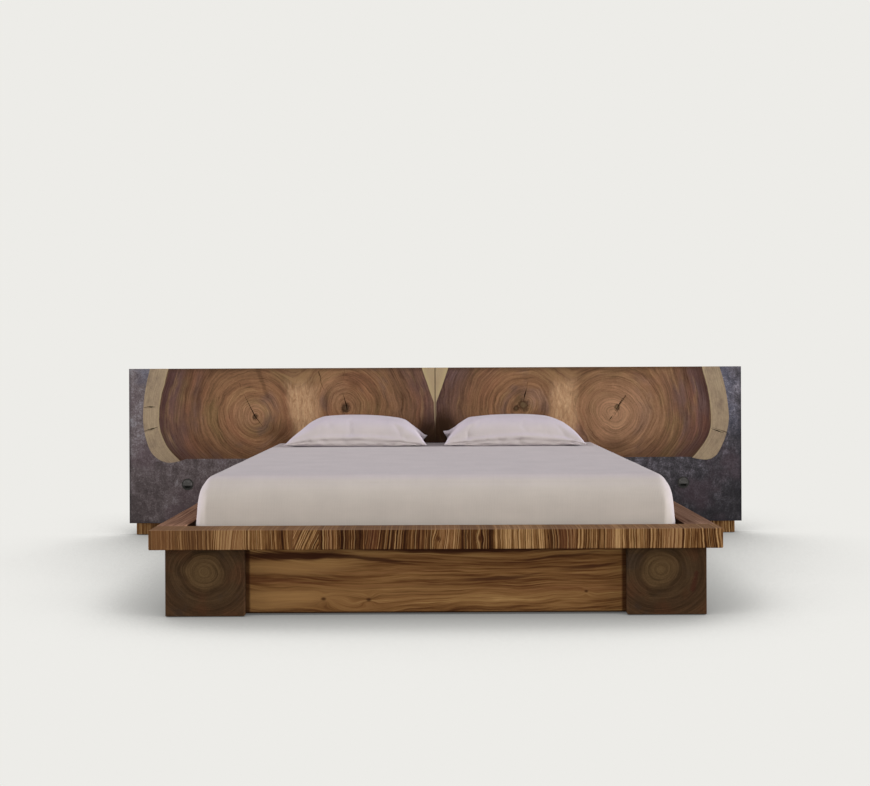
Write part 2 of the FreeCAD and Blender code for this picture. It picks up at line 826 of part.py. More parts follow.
def make_cracks(word, side, reach, shares):
    """The space of the thin drying cracks in a slab's face, each narrow at both ends."""
    spaces = []
    for index, (*ends_and_middle, way) in enumerate(shares):
        start, middle, end = [(reach * out * side, size.slab_height * up) for out, up in ends_and_middle]
        open_x = size.crack_width / 2 if way == "across" else zero
        open_z = size.crack_width / 2 if way == "up" else zero
        one_lip = (middle[0] - open_x, middle[1] - open_z)
        other_lip = (middle[0] + open_x, middle[1] + open_z)
        name = f"crack_{word}_{index}"
        corners = (start, one_lip, end, other_lip)
        low = y_face - size.overrun
        spaces.append(upright_plate(name, corners, (0, 0, 0, 0), low, y_face + size.crack_depth))
    return grouped(f"cracks_{word}", spaces)


def make_headboard_face(leg_bolt_holes):
    """In each half: the inlaid slab, the core board round it, and the patinated sheet over the core.

    The sheet is folded back over the core's outer end."""
    hole_radius = size.liner_outer_radius + size.liner_hole_clearance
    for word, side in SIDES:
        on_left = side < 0
        reach = half_head - (size.left_slab_margin if on_left else size.right_slab_margin)
        slab = make_slab(word, side, reach, LEFT_SLAB_SHARES if on_left else RIGHT_SLAB_SHARES)
        cracks = make_cracks(word, side, reach, LEFT_CRACK_SHARES if on_left else RIGHT_CRACK_SHARES)
        node(cut(f"slab_cracked_{word}", slab, cracks), f"log_slab_{word}")
        start = (x_grommet * side, y_face - size.overrun, z_grommet)
        length = size.slab_thickness + size.overrun * 2
        hole = rod(f"grommet_hole_{word}", start, hole_radius, length, "y")
        height = (z_panel, z_head)
        core_span = sided(side, zero, half_head - size.sheet_metal_thickness)
        core = block(f"core_blank_{word}", core_span, (y_core, y_frame), height)
        shell = block(f"sheet_block_{word}", sided(side, zero, half_head), (y_face, y_frame), height)
        folded = cut(f"sheet_folded_{word}", shell, core)
        layers = (
            ("core", core, f"headboard_core_{word}"),
            ("sheet", folded, f"patina_sheet_{word}"),
        )
        for layer, blank, label in layers:
            around = cut(f"{layer}_around_slab_{word}", blank, slab)
            pierced = cut(f"{layer}_pierced_{word}", around, hole)
            node(cut(f"{layer}_bored_{word}", pierced, leg_bolt_holes), label)


def make_headboard_frame(leg_bolt_holes, seam_holes, plinth_holes):
    """The rails and stiles behind each half, and the plinth under it."""
    depth = (y_frame, y_back)
    low_rail = z_panel + size.frame_rail_width
    top_rail = z_head - size.frame_rail_width
    x_mid = half_base - size.leg_width / 2
    half_mid = size.mid_stile_width / 2
    for word, side in SIDES:
        whole = sided(side, zero, half_head)
        pieces = (
            ("top_rail", whole, (top_rail, z_head)),
            ("bottom_rail", whole, (z_panel, low_rail)),
            ("end_stile", sided(side, half_head - size.end_stile_width, half_head), (low_rail, top_rail)),
            ("mid_stile", sided(side, x_mid - half_mid, x_mid + half_mid), (low_rail, top_rail)),
            ("seam_stile", sided(side, zero, size.seam_stile_width), (low_rail, top_rail)),
        )
        for kind, span, height in pieces:
            piece = eased_block(f"{kind}_blank_{word}", span, depth, height, size.frame_ease)
            if kind in ("bottom_rail", "mid_stile"):
                piece = cut(f"{kind}_bored_{word}", piece, leg_bolt_holes)
            if kind == "bottom_rail":
                piece = cut(f"{kind}_screwed_{word}", piece, plinth_holes)
            if kind == "seam_stile":
                piece = cut(f"{kind}_bored_{word}", piece, seam_holes)
            node(piece, f"headboard_{kind}_{word}")
        plinth = eased_block(
            f"plinth_blank_{word}",
            sided(side, zero, half_head - size.plinth_inset),
            (y_face + size.plinth_setback, y_back),
            (z_base, z_panel),
            size.plinth_ease,
        )
        node(cut(f"plinth_cut_{word}", plinth, plinth_holes), f"plinth_{word}")


def revolved(name, profile):
    """A round piece turned about Y: its profile holds a radius and a depth for each corner."""
    body = doc.addObject("PartDesign::Body", name)
    sketch = new_sketch(body, f"{name}_profile", "XY_Plane")
    closed_outline(sketch, profile, [0] * len(profile))
    turn = body.newObject("PartDesign::Revolution", f"{name}_turn")
    turn.Profile = sketch
    turn.ReferenceAxis = (sketch, ["V_Axis"])
    turn.Angle = 360
    return body


def make_grommets():
    """A lined hole in each dark sheet, and the slotted cap that turns in the liner."""
    flange = size.liner_flange_thickness
    seat_radius = size.liner_outer_radius - size.liner_wall
    ledge_radius = seat_radius - size.liner_ledge
    cap_back = size.cap_thickness - flange
    ledge_back = cap_back + size.liner_ledge_thickness
    for word, side in SIDES:
        liner = revolved(
            f"liner_{word}",
            (
                (seat_radius, -flange),
                (size.liner_flange_radius, -flange),
                (size.liner_flange_radius, zero),
                (size.liner_outer_radius, zero),
                (size.liner_outer_radius, size.slab_thickness),
                (seat_radius, size.slab_thickness),
                (seat_radius, ledge_back),
                (ledge_radius, ledge_back),
                (ledge_radius, cap_back),
                (seat_radius, cap_back),
            ),
        )
        place(liner, x_grommet * side, y_face, z_grommet)
        node(liner, f"grommet_liner_{word}")
        cap_radius = seat_radius - size.cap_clearance
        skirt_radius = ledge_radius - size.cap_clearance
        lip_front = ledge_back + size.cap_lip_gap
        lip_back = lip_front + size.cap_lip_thickness
        cap = revolved(
            f"cap_{word}",
            (
                (zero, -flange),
                (cap_radius - size.cap_ease, -flange),
                (cap_radius, size.cap_ease - flange),
                (cap_radius, cap_back - size.cap_clearance),
                (skirt_radius, cap_back - size.cap_clearance),
                (skirt_radius, lip_front),
                (skirt_radius + size.cap_lip, lip_front),
                (skirt_radius, lip_back),
                (skirt_radius - size.cap_skirt_wall, lip_back),
                (skirt_radius - size.cap_skirt_wall, cap_back),
                (zero, cap_back),
            ),
        )
        x = x_grommet * side
        place(cap, x, y_face, z_grommet)
        slot_top = z_grommet - size.cord_slot_drop
        slot = block(
            f"cord_slot_{word}",
            (x - size.cord_slot_width / 2, x + size.cord_slot_width / 2),
            (y_face - flange - size.overrun, y_face + lip_back + size.overrun),
            (slot_top - size.cord_slot_height, slot_top),
        )
        node(cut(f"cap_slotted_{word}", cap, slot), f"grommet_cap_{word}")


def rounded_rectangle(half_x, half_y, middle_y, level, corner):
    """A horizontal rounded rectangle of lines and quarter arcs."""
    edges = []
    points = []
    diagonal = corner * (1 - math.sqrt(0.5))
    signs = ((1, 1), (-1, 1), (-1, -1), (1, -1))
    for index, (across, along) in enumerate(signs):
        outer_x = half_x * across
        outer_y = half_y * along
        on_side = FreeCAD.Vector(outer_x, middle_y + outer_y - corner * along, level)
        on_end = FreeCAD.Vector(outer_x - corner * across, middle_y + outer_y, level)
        bend = FreeCAD.Vector(outer_x - diagonal * across, middle_y + outer_y - diagonal * along, level)
        first, last = (on_side, on_end) if index % 2 == 0 else (on_end, on_side)
        points.append((first, bend, last))
    for index, (first, bend, last) in enumerate(points):
        edges.append(Part.Arc(first, bend, last).toShape())
        edges.append(Part.LineSegment(last, points[(index + 1) % len(points)][0]).toShape())
    return Part.Wire(edges)


def mattress_form(grown):
    """The mattress with drawn-in sides and a crown, grown outwards by a small distance."""
    thickness = size.mattress_thickness.value
    middle_y = (y_face - size.mattress_head_gap - size.mattress_length / 2).value
    sections = []
    for up, drawn in MATTRESS_SHARES:
        inset = thickness * drawn
        level = z_deck.value + (thickness + grown) * up
        corner = size.mattress_corner.value + grown + inset * CORNER_GROWTH_SHARE
        half_x = size.mattress_width.value / 2 - inset + grown
        half_y = size.mattress_length.value / 2 - inset + grown
        sections.append(rounded_rectangle(half_x, half_y, middle_y, level, corner))
    return Part.makeLoft(sections, True, True)


def make_mattress():
    """The mattress, and the fitted sheet that covers its top and sides."""
    mattress = doc.addObject("Part::Feature", "mattress_body")
    mattress.Shape = mattress_form(0)
    node(mattress, "mattress")
    gap = size.soft_gap.value
    linen = doc.addObject("Part::Feature", "linen_body")
    linen.Shape = mattress_form(gap + size.linen_thickness.value).cut(mattress_form(gap))
    node(linen, "bed_sheet")


def pillow_section(out, depth, rise, belly):
    """One upright slice of a pillow: a high arc over its seams and a low one under them."""
    front = FreeCAD.Vector(out, -depth / 2, 0)
    rear = FreeCAD.Vector(out, depth / 2, 0)
    over = Part.Arc(front, FreeCAD.Vector(out, 0, rise), rear).toShape()
    under = Part.Arc(rear, FreeCAD.Vector(out, 0, -belly), front).toShape()
    return Part.Wire([over, under])


def make_pillows():
    """Two pillows on the sheet by the headboard, crowned, thin at the ends and drawn in along the sides."""
    half = size.pillow_width.value / 2
    depth = size.pillow_depth.value
    tip = size.pillow_tip.value
    full_belly = size.pillow_belly.value
    full_rise = size.pillow_height.value - full_belly
    top = z_deck + size.mattress_thickness + size.soft_gap + size.linen_thickness
    for word, side in SIDES:
        sections = []
        mirrored = [(-out, deep, thick) for out, deep, thick in reversed(PILLOW_SHARES[1:])]
        for out, deep, thick in (*mirrored, *PILLOW_SHARES):
            rise = tip / 2 + (full_rise - tip / 2) * thick
            belly = tip / 2 + (full_belly - tip / 2) * thick
            sections.append(pillow_section(half * out, depth * deep, rise, belly))
        pillow = doc.addObject("Part::Feature", f"pillow_body_{word}")
        pillow.Shape = Part.makeLoft(sections, True, True)
        y = y_face - size.pillow_head_gap - size.pillow_depth / 2
        z = top + size.soft_gap + size.pillow_belly
        pillow.Placement = FreeCAD.Placement()
        place(pillow, size.pillow_offset * side, y, z)
        node(pillow, f"pillow_{word}")


def write_parts():
    """Checks every object and writes each piece's shape to its own file."""
    doc.recompute()
    faults = []
    for item in doc.Objects:
        if "Invalid" in item.State or "Error" in item.State:
            faults.append(f"{item.Name}: {item.State}")
    for piece in nodes:
        if piece.Shape.isNull() or not piece.Shape.isValid() or not piece.Shape.Solids:
            faults.append(f"{piece.Label}: no valid solid")
    if faults:
        raise RuntimeError("; ".join(faults))
    os.makedirs("parts", exist_ok=True)
    for piece in nodes:
        piece.Shape.exportStep(os.path.join("parts", f"{piece.Label}.step"))
        box = piece.Shape.BoundBox
        spans = ((box.XMin, box.XMax), (box.YMin, box.YMax), (box.ZMin, box.ZMax))
        reach = ", ".join(f"{low:.1f} to {high:.1f}" for low, high in spans)
        print(f"{piece.Label}: {len(piece.Shape.Solids)} solids, {reach}")


rim_holes = make_dowels()
rear_bolt_holes = make_leg_bolts()
half_seam_holes = make_seam_bolts()
lower_screw_holes = make_plinth_screws()
slat_screw_holes = make_screws()
make_deck(rim_holes)
make_legs(rim_holes, rear_bolt_holes)
make_boards(rim_holes)
make_slats(slat_screw_holes)
make_cleats(slat_screw_holes)
make_centre_support(slat_screw_holes)
make_glides()
make_headboard_face(rear_bolt_holes)
make_headboard_frame(rear_bolt_holes, half_seam_holes, lower_screw_holes)
make_grommets()
make_mattress()
make_pillows()
write_parts()
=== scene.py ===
import math
from itertools import product

import bmesh
import bpy
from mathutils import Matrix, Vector, noise


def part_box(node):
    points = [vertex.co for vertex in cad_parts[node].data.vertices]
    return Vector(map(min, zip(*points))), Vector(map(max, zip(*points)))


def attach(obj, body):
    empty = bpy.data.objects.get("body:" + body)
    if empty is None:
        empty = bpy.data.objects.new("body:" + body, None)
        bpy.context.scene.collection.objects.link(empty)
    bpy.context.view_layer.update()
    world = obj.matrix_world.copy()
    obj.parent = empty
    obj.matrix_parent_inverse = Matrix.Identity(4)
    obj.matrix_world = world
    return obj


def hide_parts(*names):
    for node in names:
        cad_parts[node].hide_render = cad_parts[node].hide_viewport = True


# A king-size platform bed of log wood. Lengths are in metres and colours are sRGB from 0 to 255.

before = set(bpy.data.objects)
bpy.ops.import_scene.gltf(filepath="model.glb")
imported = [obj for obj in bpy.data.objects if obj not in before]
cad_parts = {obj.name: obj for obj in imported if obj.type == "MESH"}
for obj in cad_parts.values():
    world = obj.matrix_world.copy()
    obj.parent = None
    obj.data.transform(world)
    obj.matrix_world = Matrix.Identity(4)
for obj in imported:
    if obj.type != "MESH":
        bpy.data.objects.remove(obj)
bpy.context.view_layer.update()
scene = bpy.context.scene

# The photograph's frame in pixels, and where its camera stood
PHOTO_WIDTH_PX = 870
PHOTO_HEIGHT_PX = 786
HORIZON_PX = 370.5
FOCAL_PX = 1090
SENSOR_MM = 36
CAMERA_PLACE = (0, -5.348, 0.9618)
CAMERA_ROLL = math.radians(0.25)

BACKDROP = (237, 236, 232)

# Places of the bed that the looks follow, read from the frame
FACE_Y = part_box("log_slab_left")[0].y
SLAB_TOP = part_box("log_slab_left")[1].z
DECK_LOW, DECK_HIGH = (corner.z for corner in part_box("foot_rail"))
RAIL_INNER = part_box("side_rail_right")[0].x
PANEL_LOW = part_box("patina_sheet_right")[0].z
PANEL_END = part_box("patina_sheet_right")[1].x


def rgb(red, green, blue):
    """An sRGB colour as the linear one that a shader takes."""
    linear = []
    for part in (red, green, blue):
        share = part / 255
        linear.append(share / 12.92 if share <= 0.04045 else ((share + 0.055) / 1.055) ** 2.4)
    return (*linear, 1)


# By how much a drawn line narrows to its end
SEGMENT_NARROWS = 0.004


class Graph:
    """A material's node tree, built step by step; each step gives the socket that it ends in."""

    def __init__(self, name):
        self.material = bpy.data.materials.new(name)
        self.material.use_nodes = True
        self.tree = self.material.node_tree
        self.tree.nodes.clear()
        self.shader = self.add("BsdfPrincipled")
        self.output = self.add("OutputMaterial", {"Surface": self.shader.outputs["BSDF"]})
        self.place = self.add("TexCoord").outputs["Object"]
        self.x, self.y, self.z = self.parts(self.place)

    def add(self, kind, inputs=None, **settings):
        """A new shader node, whose inputs are given by their names or numbers."""
        node = self.tree.nodes.new("ShaderNode" + kind)
        for name, value in settings.items():
            setattr(node, name, value)
        for name, value in (inputs or {}).items():
            self.feed(node.inputs[name], value)
        return node

    def feed(self, socket, value):
        """Links a socket to another, or gives it a plain value."""
        if isinstance(value, bpy.types.NodeSocket):
            self.tree.links.new(value, socket)
        else:
            socket.default_value = value

    def parts(self, vector):
        """A vector's x, y and z."""
        return self.add("SeparateXYZ", {0: vector}).outputs

    def vector(self, *values):
        return self.add("CombineXYZ", dict(enumerate(values))).outputs[0]

    def sum(self, operation, *values):
        return self.add("Math", dict(enumerate(values)), operation=operation).outputs[0]

    def plus(self, first, *others):
        for other in others:
            first = self.sum("ADD", first, other)
        return first

    def times(self, first, *others):
        for other in others:
            first = self.sum("MULTIPLY", first, other)
        return first

    def less(self, first, second):
        return self.sum("SUBTRACT", first, second)

    def size(self, value):
        """A value without its sign."""
        return self.sum("ABSOLUTE", value)

    def stretched(self, x, y, z):
        """The place with each of its axes multiplied."""
        inputs = {0: self.place, 1: (x, y, z)}
        return self.add("VectorMath", inputs, operation="MULTIPLY").outputs[0]

    def noise(self, place, scale, detail=2, roughness=0.5, distortion=0, dimensions="3D"):
        source = "W" if dimensions == "1D" else "Vector"
        place = self.vector(*place) if isinstance(place, tuple) else place
        inputs = {source: place, "Scale": scale, "Detail": detail}
        inputs.update({"Roughness": roughness, "Distortion": distortion})
        return self.add("TexNoise", inputs, noise_dimensions=dimensions).outputs["Fac"]

    def line_noise(self, along, *settings):
        """Noise along one measure only, such as across the rings or the grain."""
        return self.noise(along, *settings, dimensions="1D")

    def swing(self, value, reach):
        """A noise value of 0 to 1 as a swing to both sides of nought."""
        return self.times(self.less(value, 0.5), 2 * reach)

    def swings(self, start, *parts):
        """A value that some noises swing, each by its own reach."""
        return self.plus(start, *(self.swing(value, reach) for value, reach in parts))

    def smooth(self, value, low, high):
        """0 below low, 1 above high, and a smooth step between."""
        inputs = {"Value": value, "From Min": low, "From Max": high}
        return self.add("MapRange", inputs, interpolation_type="SMOOTHSTEP").outputs["Result"]

    def line_at(self, value, middle, width):
        """1 in a thin line where a noise value passes its middle."""
        return self.smooth(self.size(self.less(value, middle)), width, 0)

    def ramp(self, value, places, tones):
        """A colour for a value of 0 to 1, from colours at some places between."""
        node = self.add("ValToRGB", {"Fac": value})
        elements = node.color_ramp.elements
        while len(elements) < len(places):
            elements.new(1)
        for element, place, tone in zip(elements, places, tones):
            element.position = place
            element.color = rgb(*tone)
        return node.outputs["Color"]

    def mix(self, share, first, second, blend="MIX"):
        """Two colours mixed. A Mix node's colours are its inputs 6 and 7 and its output 2."""
        first, second = (rgb(*tone) if isinstance(tone, tuple) else tone for tone in (first, second))
        inputs = {0: share, 6: first, 7: second}
        return self.add("Mix", inputs, data_type="RGBA", blend_type=blend).outputs[2]

    def tinted(self, colour, *tints):
        """A colour with others mixed in, each by its share times its strength."""
        for share, strength, tone in tints:
            colour = self.mix(self.times(share, strength), colour, tone)
        return colour

    def shade(self, colour, factor):
        """A colour made darker or lighter by a factor."""
        grey = self.add("CombineColor", {0: factor, 1: factor, 2: factor})
        return self.mix(1, colour, grey.outputs[0], "MULTIPLY")

    def slant(self, across, up):
        """The long side over two lengths at right angles."""
        return self.sum("SQRT", self.plus(self.times(across, across), self.times(up, up)))

    def distance(self, x, z, centre_x, centre_z, height_share=1):
        """How far a place is from a line along Y."""
        return self.slant(self.less(x, centre_x), self.times(self.less(z, centre_z), height_share))

    def bell(self, near, reach):
        """1 at no distance, falling in a bell curve over a reach."""
        return self.sum("EXPONENT", self.times(self.times(near, near), -1 / reach**2))

    def from_segment(self, x, z, start, end):
        """How far a place is from the line between two places, which narrows towards its end."""
        (x0, z0), (x1, z1) = start, end
        length = math.hypot(x1 - x0, z1 - z0)
        along_x, along_z = (x1 - x0) / length, (z1 - z0) / length
        from_x = self.less(x, x0)
        from_z = self.less(z, z0)
        along = self.plus(self.times(from_x, along_x), self.times(from_z, along_z))
        side = self.size(self.less(self.times(from_x, along_z), self.times(from_z, along_x)))
        over = self.sum("MAXIMUM", self.less(along, length), self.times(along, -1))
        return self.plus(side, self.sum("MAXIMUM", over, 0), self.times(along, SEGMENT_NARROWS / length))

    def bump(self, height, strength, depth):
        node = self.add("Bump", {"Strength": strength, "Distance": depth, "Height": height})
        self.feed(self.shader.inputs["Normal"], node.outputs["Normal"])

    def finish(self, colour, roughness, specular, **others):
        """Feeds the shader and gives the finished material."""
        values = {"Base Color": colour, "Roughness": roughness, "Specular IOR Level": specular}
        values.update({name.replace("_", " ").title(): value for name, value in others.items()})
        for name, value in values.items():
            self.feed(self.shader.inputs[name], value)
        return self.material


# The two slabs are nearly mirror images: where each has its piths, its pale fork and its marks, as places out
# from the seam and up. A stain is a dark line with a width and a strength, a knot has a radius and a paler
# heart, and a dark cloud or a glow is a darker or lighter cloud with a radius and a strength. The dark cloud
# at the foot of the seam is painted shade, where the pillows shade the wood.
SLABS = {
    "left": {
        "side": -1,
        "outer_pith": (1.061, 0.698),
        "inner_pith": (0.522, 0.757),
        "fork": 0.773,
        "stains": (
            ((0.688, 0.955), (0.645, 0.83), 0.006, 0.7),
            ((0.534, 0.985), (0.54, 0.82), 0.003, 0.5),
            ((1.149, 0.893), (1.112, 0.80), 0.0025, 0.8),
            ((1.045, 0.985), (0.985, 0.81), 0.022, 0.35),
            ((1.709, 0.752), (1.64, 0.751), 0.0045, 0.55),
            ((1.714, 0.612), (1.62, 0.629), 0.005, 0.65),
        ),
        "knots": ((0.524, 0.748, 0.03, 0.3), (1.060, 0.696, 0.012, 0.3)),
        # The second dark cloud, at the foot of the seam, is painted shade between the pillows
        "dark_clouds_and_painted_shade": ((0.93, 0.60, 0.13, 0.5), (0.03, 0.60, 0.17, 0.85), (0.47, 0.88, 0.05, 0.3)),
        "glows": ((1.1, 0.72, 0.16, 0.2), (0.6, 0.86, 0.12, 0.2)),
        "seed": 3.1,
    },
    "right": {
        "side": 1,
        "outer_pith": (1.050, 0.703),
        "inner_pith": (0.521, 0.750),
        "fork": 0.748,
        "stains": (
            ((1.12, 0.81), (1.022, 0.645), 0.0055, 0.8),
            ((0.548, 0.893), (0.53, 0.79), 0.003, 0.6),
            ((1.71, 0.593), (1.618, 0.624), 0.0055, 0.7),
        ),
        "knots": ((0.521, 0.750, 0.03, 0.8), (0.475, 0.739, 0.016, 0.4), (1.072, 0.742, 0.013, 1)),
        "dark_clouds_and_painted_shade": (
            (1.05, 0.52, 0.1, 0.3),
            # This dark cloud at the foot of the seam is painted shade between the pillows
            (0.03, 0.61, 0.18, 0.9),
            (0.5, 0.82, 0.07, 0.3),
            (1.2, 0.95, 0.09, 0.2),
        ),
        "glows": ((1.1, 0.70, 0.33, 0.5), (0.6, 0.8, 0.12, 0.25)),
        "seed": 8.7,
    },
}
# The heartwood's outer border: how far out it lies at its middle height, and how that changes with the
# square and the cube of the height from there
HEARTWOOD_REACH = 1.626
HEARTWOOD_MIDDLE = 0.692
HEARTWOOD_SQUARE = -1.327
HEARTWOOD_CUBE = 2.289
# The sapwood at the seam: the height from which it widens upwards, and by how much
SEAM_SAP_LOW = 0.773
SEAM_SAP_SLOPE = 0.35
# How far from a pith the rings follow the border, and the turns of the evenly spaced rings per metre
RING_REACH = 0.563
RING_TURN = 2 * math.pi / 0.0225
LEG_RING_TURN = 2 * math.pi / 0.017
CRACK_FLOOR = FACE_Y + 0.008


def slab_wood(word, side, outer_pith, inner_pith, fork, stains, knots, dark_clouds_and_painted_shade, glows, seed):
    """A log cut across two stems that grew together: rings round two piths, with pale sapwood outside."""
    g = Graph(f"slab_wood_{word}")
    out = g.times(g.x, side)
    moved = g.plus(out, seed)
    drift = g.noise((moved, 0, g.z), 2.6)
    drift_up = g.noise((moved, 5, g.z), 2.4)
    wobble = g.noise((moved, g.times(g.y, 0.3), g.z), 17, 3)
    x = g.swings(out, (drift, 0.055), (wobble, 0.012))
    z = g.swings(g.z, (drift_up, 0.05), (wobble, 0.009))

    # The border between heartwood and sapwood, and how far inside it a place is
    rise = g.less(g.z, HEARTWOOD_MIDDLE)
    square = g.times(rise, rise)
    border = g.plus(HEARTWOOD_REACH, g.times(square, HEARTWOOD_SQUARE), g.times(square, rise, HEARTWOOD_CUBE))
    ripple = g.swing(g.noise((0, seed, g.z), 9, 3), 0.009)
    inside = g.less(g.plus(border, ripple), out)
    seam_rise = g.sum("MAXIMUM", g.times(g.less(g.z, SEAM_SAP_LOW), SEAM_SAP_SLOPE), 0)
    seam_border = g.plus(g.times(g.smooth(g.z, 0.6, 0.72), 0.007), seam_rise, g.times(ripple, 0.4))
    off_seam = g.less(out, seam_border)
    sap = g.smooth(g.sum("MINIMUM", inside, off_seam), 0.0015, -0.0015)

    # Rings round each pith, which run together further out and follow the border at the outer end
    outer = g.distance(x, z, *outer_pith)
    inner = g.distance(x, z, *inner_pith)
    follow = g.times(g.smooth(outer, 0.16, 0.5), g.smooth(out, outer_pith[0], outer_pith[0] + 0.35))
    bent = g.plus(outer, g.times(follow, g.less(g.less(RING_REACH, inside), outer)))
    rings = g.sum("SMOOTH_MIN", bent, inner, 0.2)

    def ringed(shift, across, along, detail):
        """Noise that is drawn out along the rings."""
        ring_place = g.plus(g.times(rings, across), seed + shift)
        return g.noise((ring_place, g.times(moved, along), g.times(g.z, along)), 1, detail, 0.6)

    fine = ringed(0, 250, 9, 2)
    middle = ringed(10, 100, 5, 3)
    broad = ringed(20, 34, 3, 3)
    band = ringed(30, 12, 2.6, 3)
    winter = ringed(80, 52, 2.4, 1)
    arc = g.line_at(winter, 0.5, 0.045)
    pale_arc = g.line_at(broad, 0.56, 0.03)
    even = g.sum("SINE", g.swings(g.times(rings, RING_TURN), (band, 7), (broad, 2)))
    even_arc = g.times(g.smooth(even, 0.6, 1), g.smooth(middle, 0.35, 0.6))
    fibre = g.noise((moved, g.times(g.y, 0.2), g.z), 110, 4, 0.7)
    cloud = g.noise((moved, 0, g.z), 5, 4, 0.6)

    def clouded(colour, clouds, ragged, core, tone):
        """The colour with soft clouds of another, which are ragged by a share of their radius."""
        for cloud_x, cloud_z, radius, strength in clouds:
            near = g.swings(g.distance(out, g.z, cloud_x, cloud_z, 1.1), (cloud, radius * ragged))
            colour = g.tinted(colour, (g.smooth(near, radius, radius * core), strength, tone))
        return colour

    tone = g.times(g.swings(rings, (band, 0.14), (cloud, 0.12)), 1 / 0.6)
    tones = ((130, 98, 72), (129, 95, 69), (121, 90, 66), (107, 79, 62), (92, 69, 63), (78, 56, 53))
    heart = g.ramp(tone, (0, 0.22, 0.45, 0.65, 0.82, 1), tones)
    for shift, across, along, low, high, strength, hue in (
        (40, 9, 3, 0.5, 0.68, 0.45, (116, 96, 64)),
        (50, 8, 2.6, 0.5, 0.68, 0.36, (118, 78, 60)),
        (60, 6, 3, 0.52, 0.68, 0.5, (94, 76, 74)),
        (70, 22, 3.4, 0.54, 0.7, 0.4, (152, 120, 86)),
    ):
        heart = g.tinted(heart, (g.smooth(ringed(shift, across, along, 3), low, high), strength, hue))
    heart = g.tinted(heart, (g.smooth(band, 0.47, 0.3), 0.45, (78, 54, 42)))
    heart = clouded(heart, glows, 0.4, 0.2, (160, 124, 98))
    lines = g.swings(1, (fine, 0.3), (middle, 0.55), (broad, 0.4), (fibre, 0.3))
    lines = g.plus(lines, g.times(arc, -0.2), g.times(pale_arc, 0.14), g.times(even_arc, -0.2))
    heart = g.shade(heart, lines)

    # Pale feathered wood where the two stems press together
    lean = 2 * ((outer_pith[0] + inner_pith[0]) / 2 - fork)
    apart = g.size(g.swings(g.plus(g.less(outer, inner), -lean), (wobble, 0.05), (cloud, 0.08)))
    feather = g.noise((g.times(moved, 60), 0, g.times(g.z, 14)), 1, 4, 0.7, 1.2)
    crotch = g.times(g.smooth(apart, 0.21, 0.06), g.smooth(g.z, 0.97, 0.82))
    feathered = g.ramp(feather, (0.25, 0.5, 0.75), ((132, 97, 68), (170, 136, 104), (194, 161, 124)))
    feathered = g.shade(feathered, g.swings(1, (middle, 0.3), (fibre, 0.2)))
    high = g.times(g.smooth(g.z, 0.86, 0.93), g.smooth(apart, 0.4, 0.1), g.smooth(broad, 0.4, 0.56))
    heart = g.tinted(heart, (crotch, 0.92, feathered), (high, 0.5, (136, 108, 76)))

    # A dark rim where the heartwood ends, darker towards the bottom and along the top edge, and the dark
    # clouds, stains and knots; the dark cloud at the seam's foot is painted shade
    heart = g.tinted(
        heart,
        (g.smooth(inside, 0.06, 0), 0.45, (62, 42, 40)),
        (g.smooth(g.z, 0.58, 0.44), 0.35, (66, 46, 34)),
        (g.smooth(g.z, SLAB_TOP - 0.03, SLAB_TOP - 0.004), 0.45, (62, 46, 34)),
    )
    # Dark clouds; the one at the foot of the seam is painted shade between the pillows
    heart = clouded(heart, dark_clouds_and_painted_shade, 0.5, 0.1, (44, 29, 18))
    for knot_x, knot_z, radius, heart_share in knots:
        uneven = g.plus(g.swing(fibre, radius * 0.5), g.swing(wobble, radius * 0.9))
        near = g.plus(g.distance(out, g.z, knot_x, knot_z, 0.85), uneven)
        mark = g.smooth(near, radius * 1.35, radius * 0.6)
        centre = g.smooth(near, radius * 0.75, radius * 0.2)
        heart = g.tinted(heart, (mark, 0.8, (44, 32, 23)), (centre, heart_share, (108, 88, 64)))

    grain = g.noise(g.stretched(3, 1, 1.6), 7, 5, 0.65)
    sap_line = g.noise((g.times(g.plus(inside, seed), 150), g.times(g.z, 8), 0), 1, 3)
    pale = g.ramp(grain, (0.25, 0.45, 0.8), ((118, 101, 87), (141, 124, 103), (159, 142, 116)))
    pale = g.shade(pale, g.swings(1, (sap_line, 0.3), (fibre, 0.22)))
    near_seam = g.smooth(out, 0.2, 0.1)
    yellow = g.times(g.smooth(off_seam, -0.03, -0.001), near_seam, g.smooth(g.z, 0.78, 0.86))
    pale = g.tinted(
        pale,
        (g.smooth(inside, -0.014, -0.001), 0.4, (166, 148, 112)),
        (near_seam, 0.4, (168, 146, 116)),
        (yellow, 0.5, (176, 160, 118)),
    )
    colour = g.mix(sap, heart, pale)
    jitter = g.swing(wobble, 0.012)
    for start, end, width, strength in stains:
        from_line = g.from_segment(g.plus(out, jitter), g.plus(g.z, g.times(jitter, -0.5)), start, end)
        colour = g.tinted(colour, (g.smooth(from_line, width, width * 0.3), strength, (48, 31, 21)))
    colour = g.tinted(colour, (g.smooth(out, 0.004, 0.0015), 0.8, (46, 32, 22)))

    # Painted shade: the floor of each drying crack is painted dark
    crack_painted_shade = g.times(
        g.smooth(g.y, FACE_Y + 0.0004, FACE_Y + 0.0015),
        g.smooth(g.y, CRACK_FLOOR + 0.001, CRACK_FLOOR),
        g.smooth(g.z, SLAB_TOP - 0.001, SLAB_TOP - 0.002),
    )
    colour = g.mix(crack_painted_shade, colour, (22, 16, 12))
    g.bump(g.plus(fine, g.times(fibre, 0.8)), 0.25, 0.0008)
    return g.finish(colour, g.swings(0.6, (fine, 0.08), (cloud, 0.06)), 0)


# Two small knots in the foot rail's front face, as places across and up
RAIL_KNOTS = ((0.011, 0.311), (0.173, 0.313))


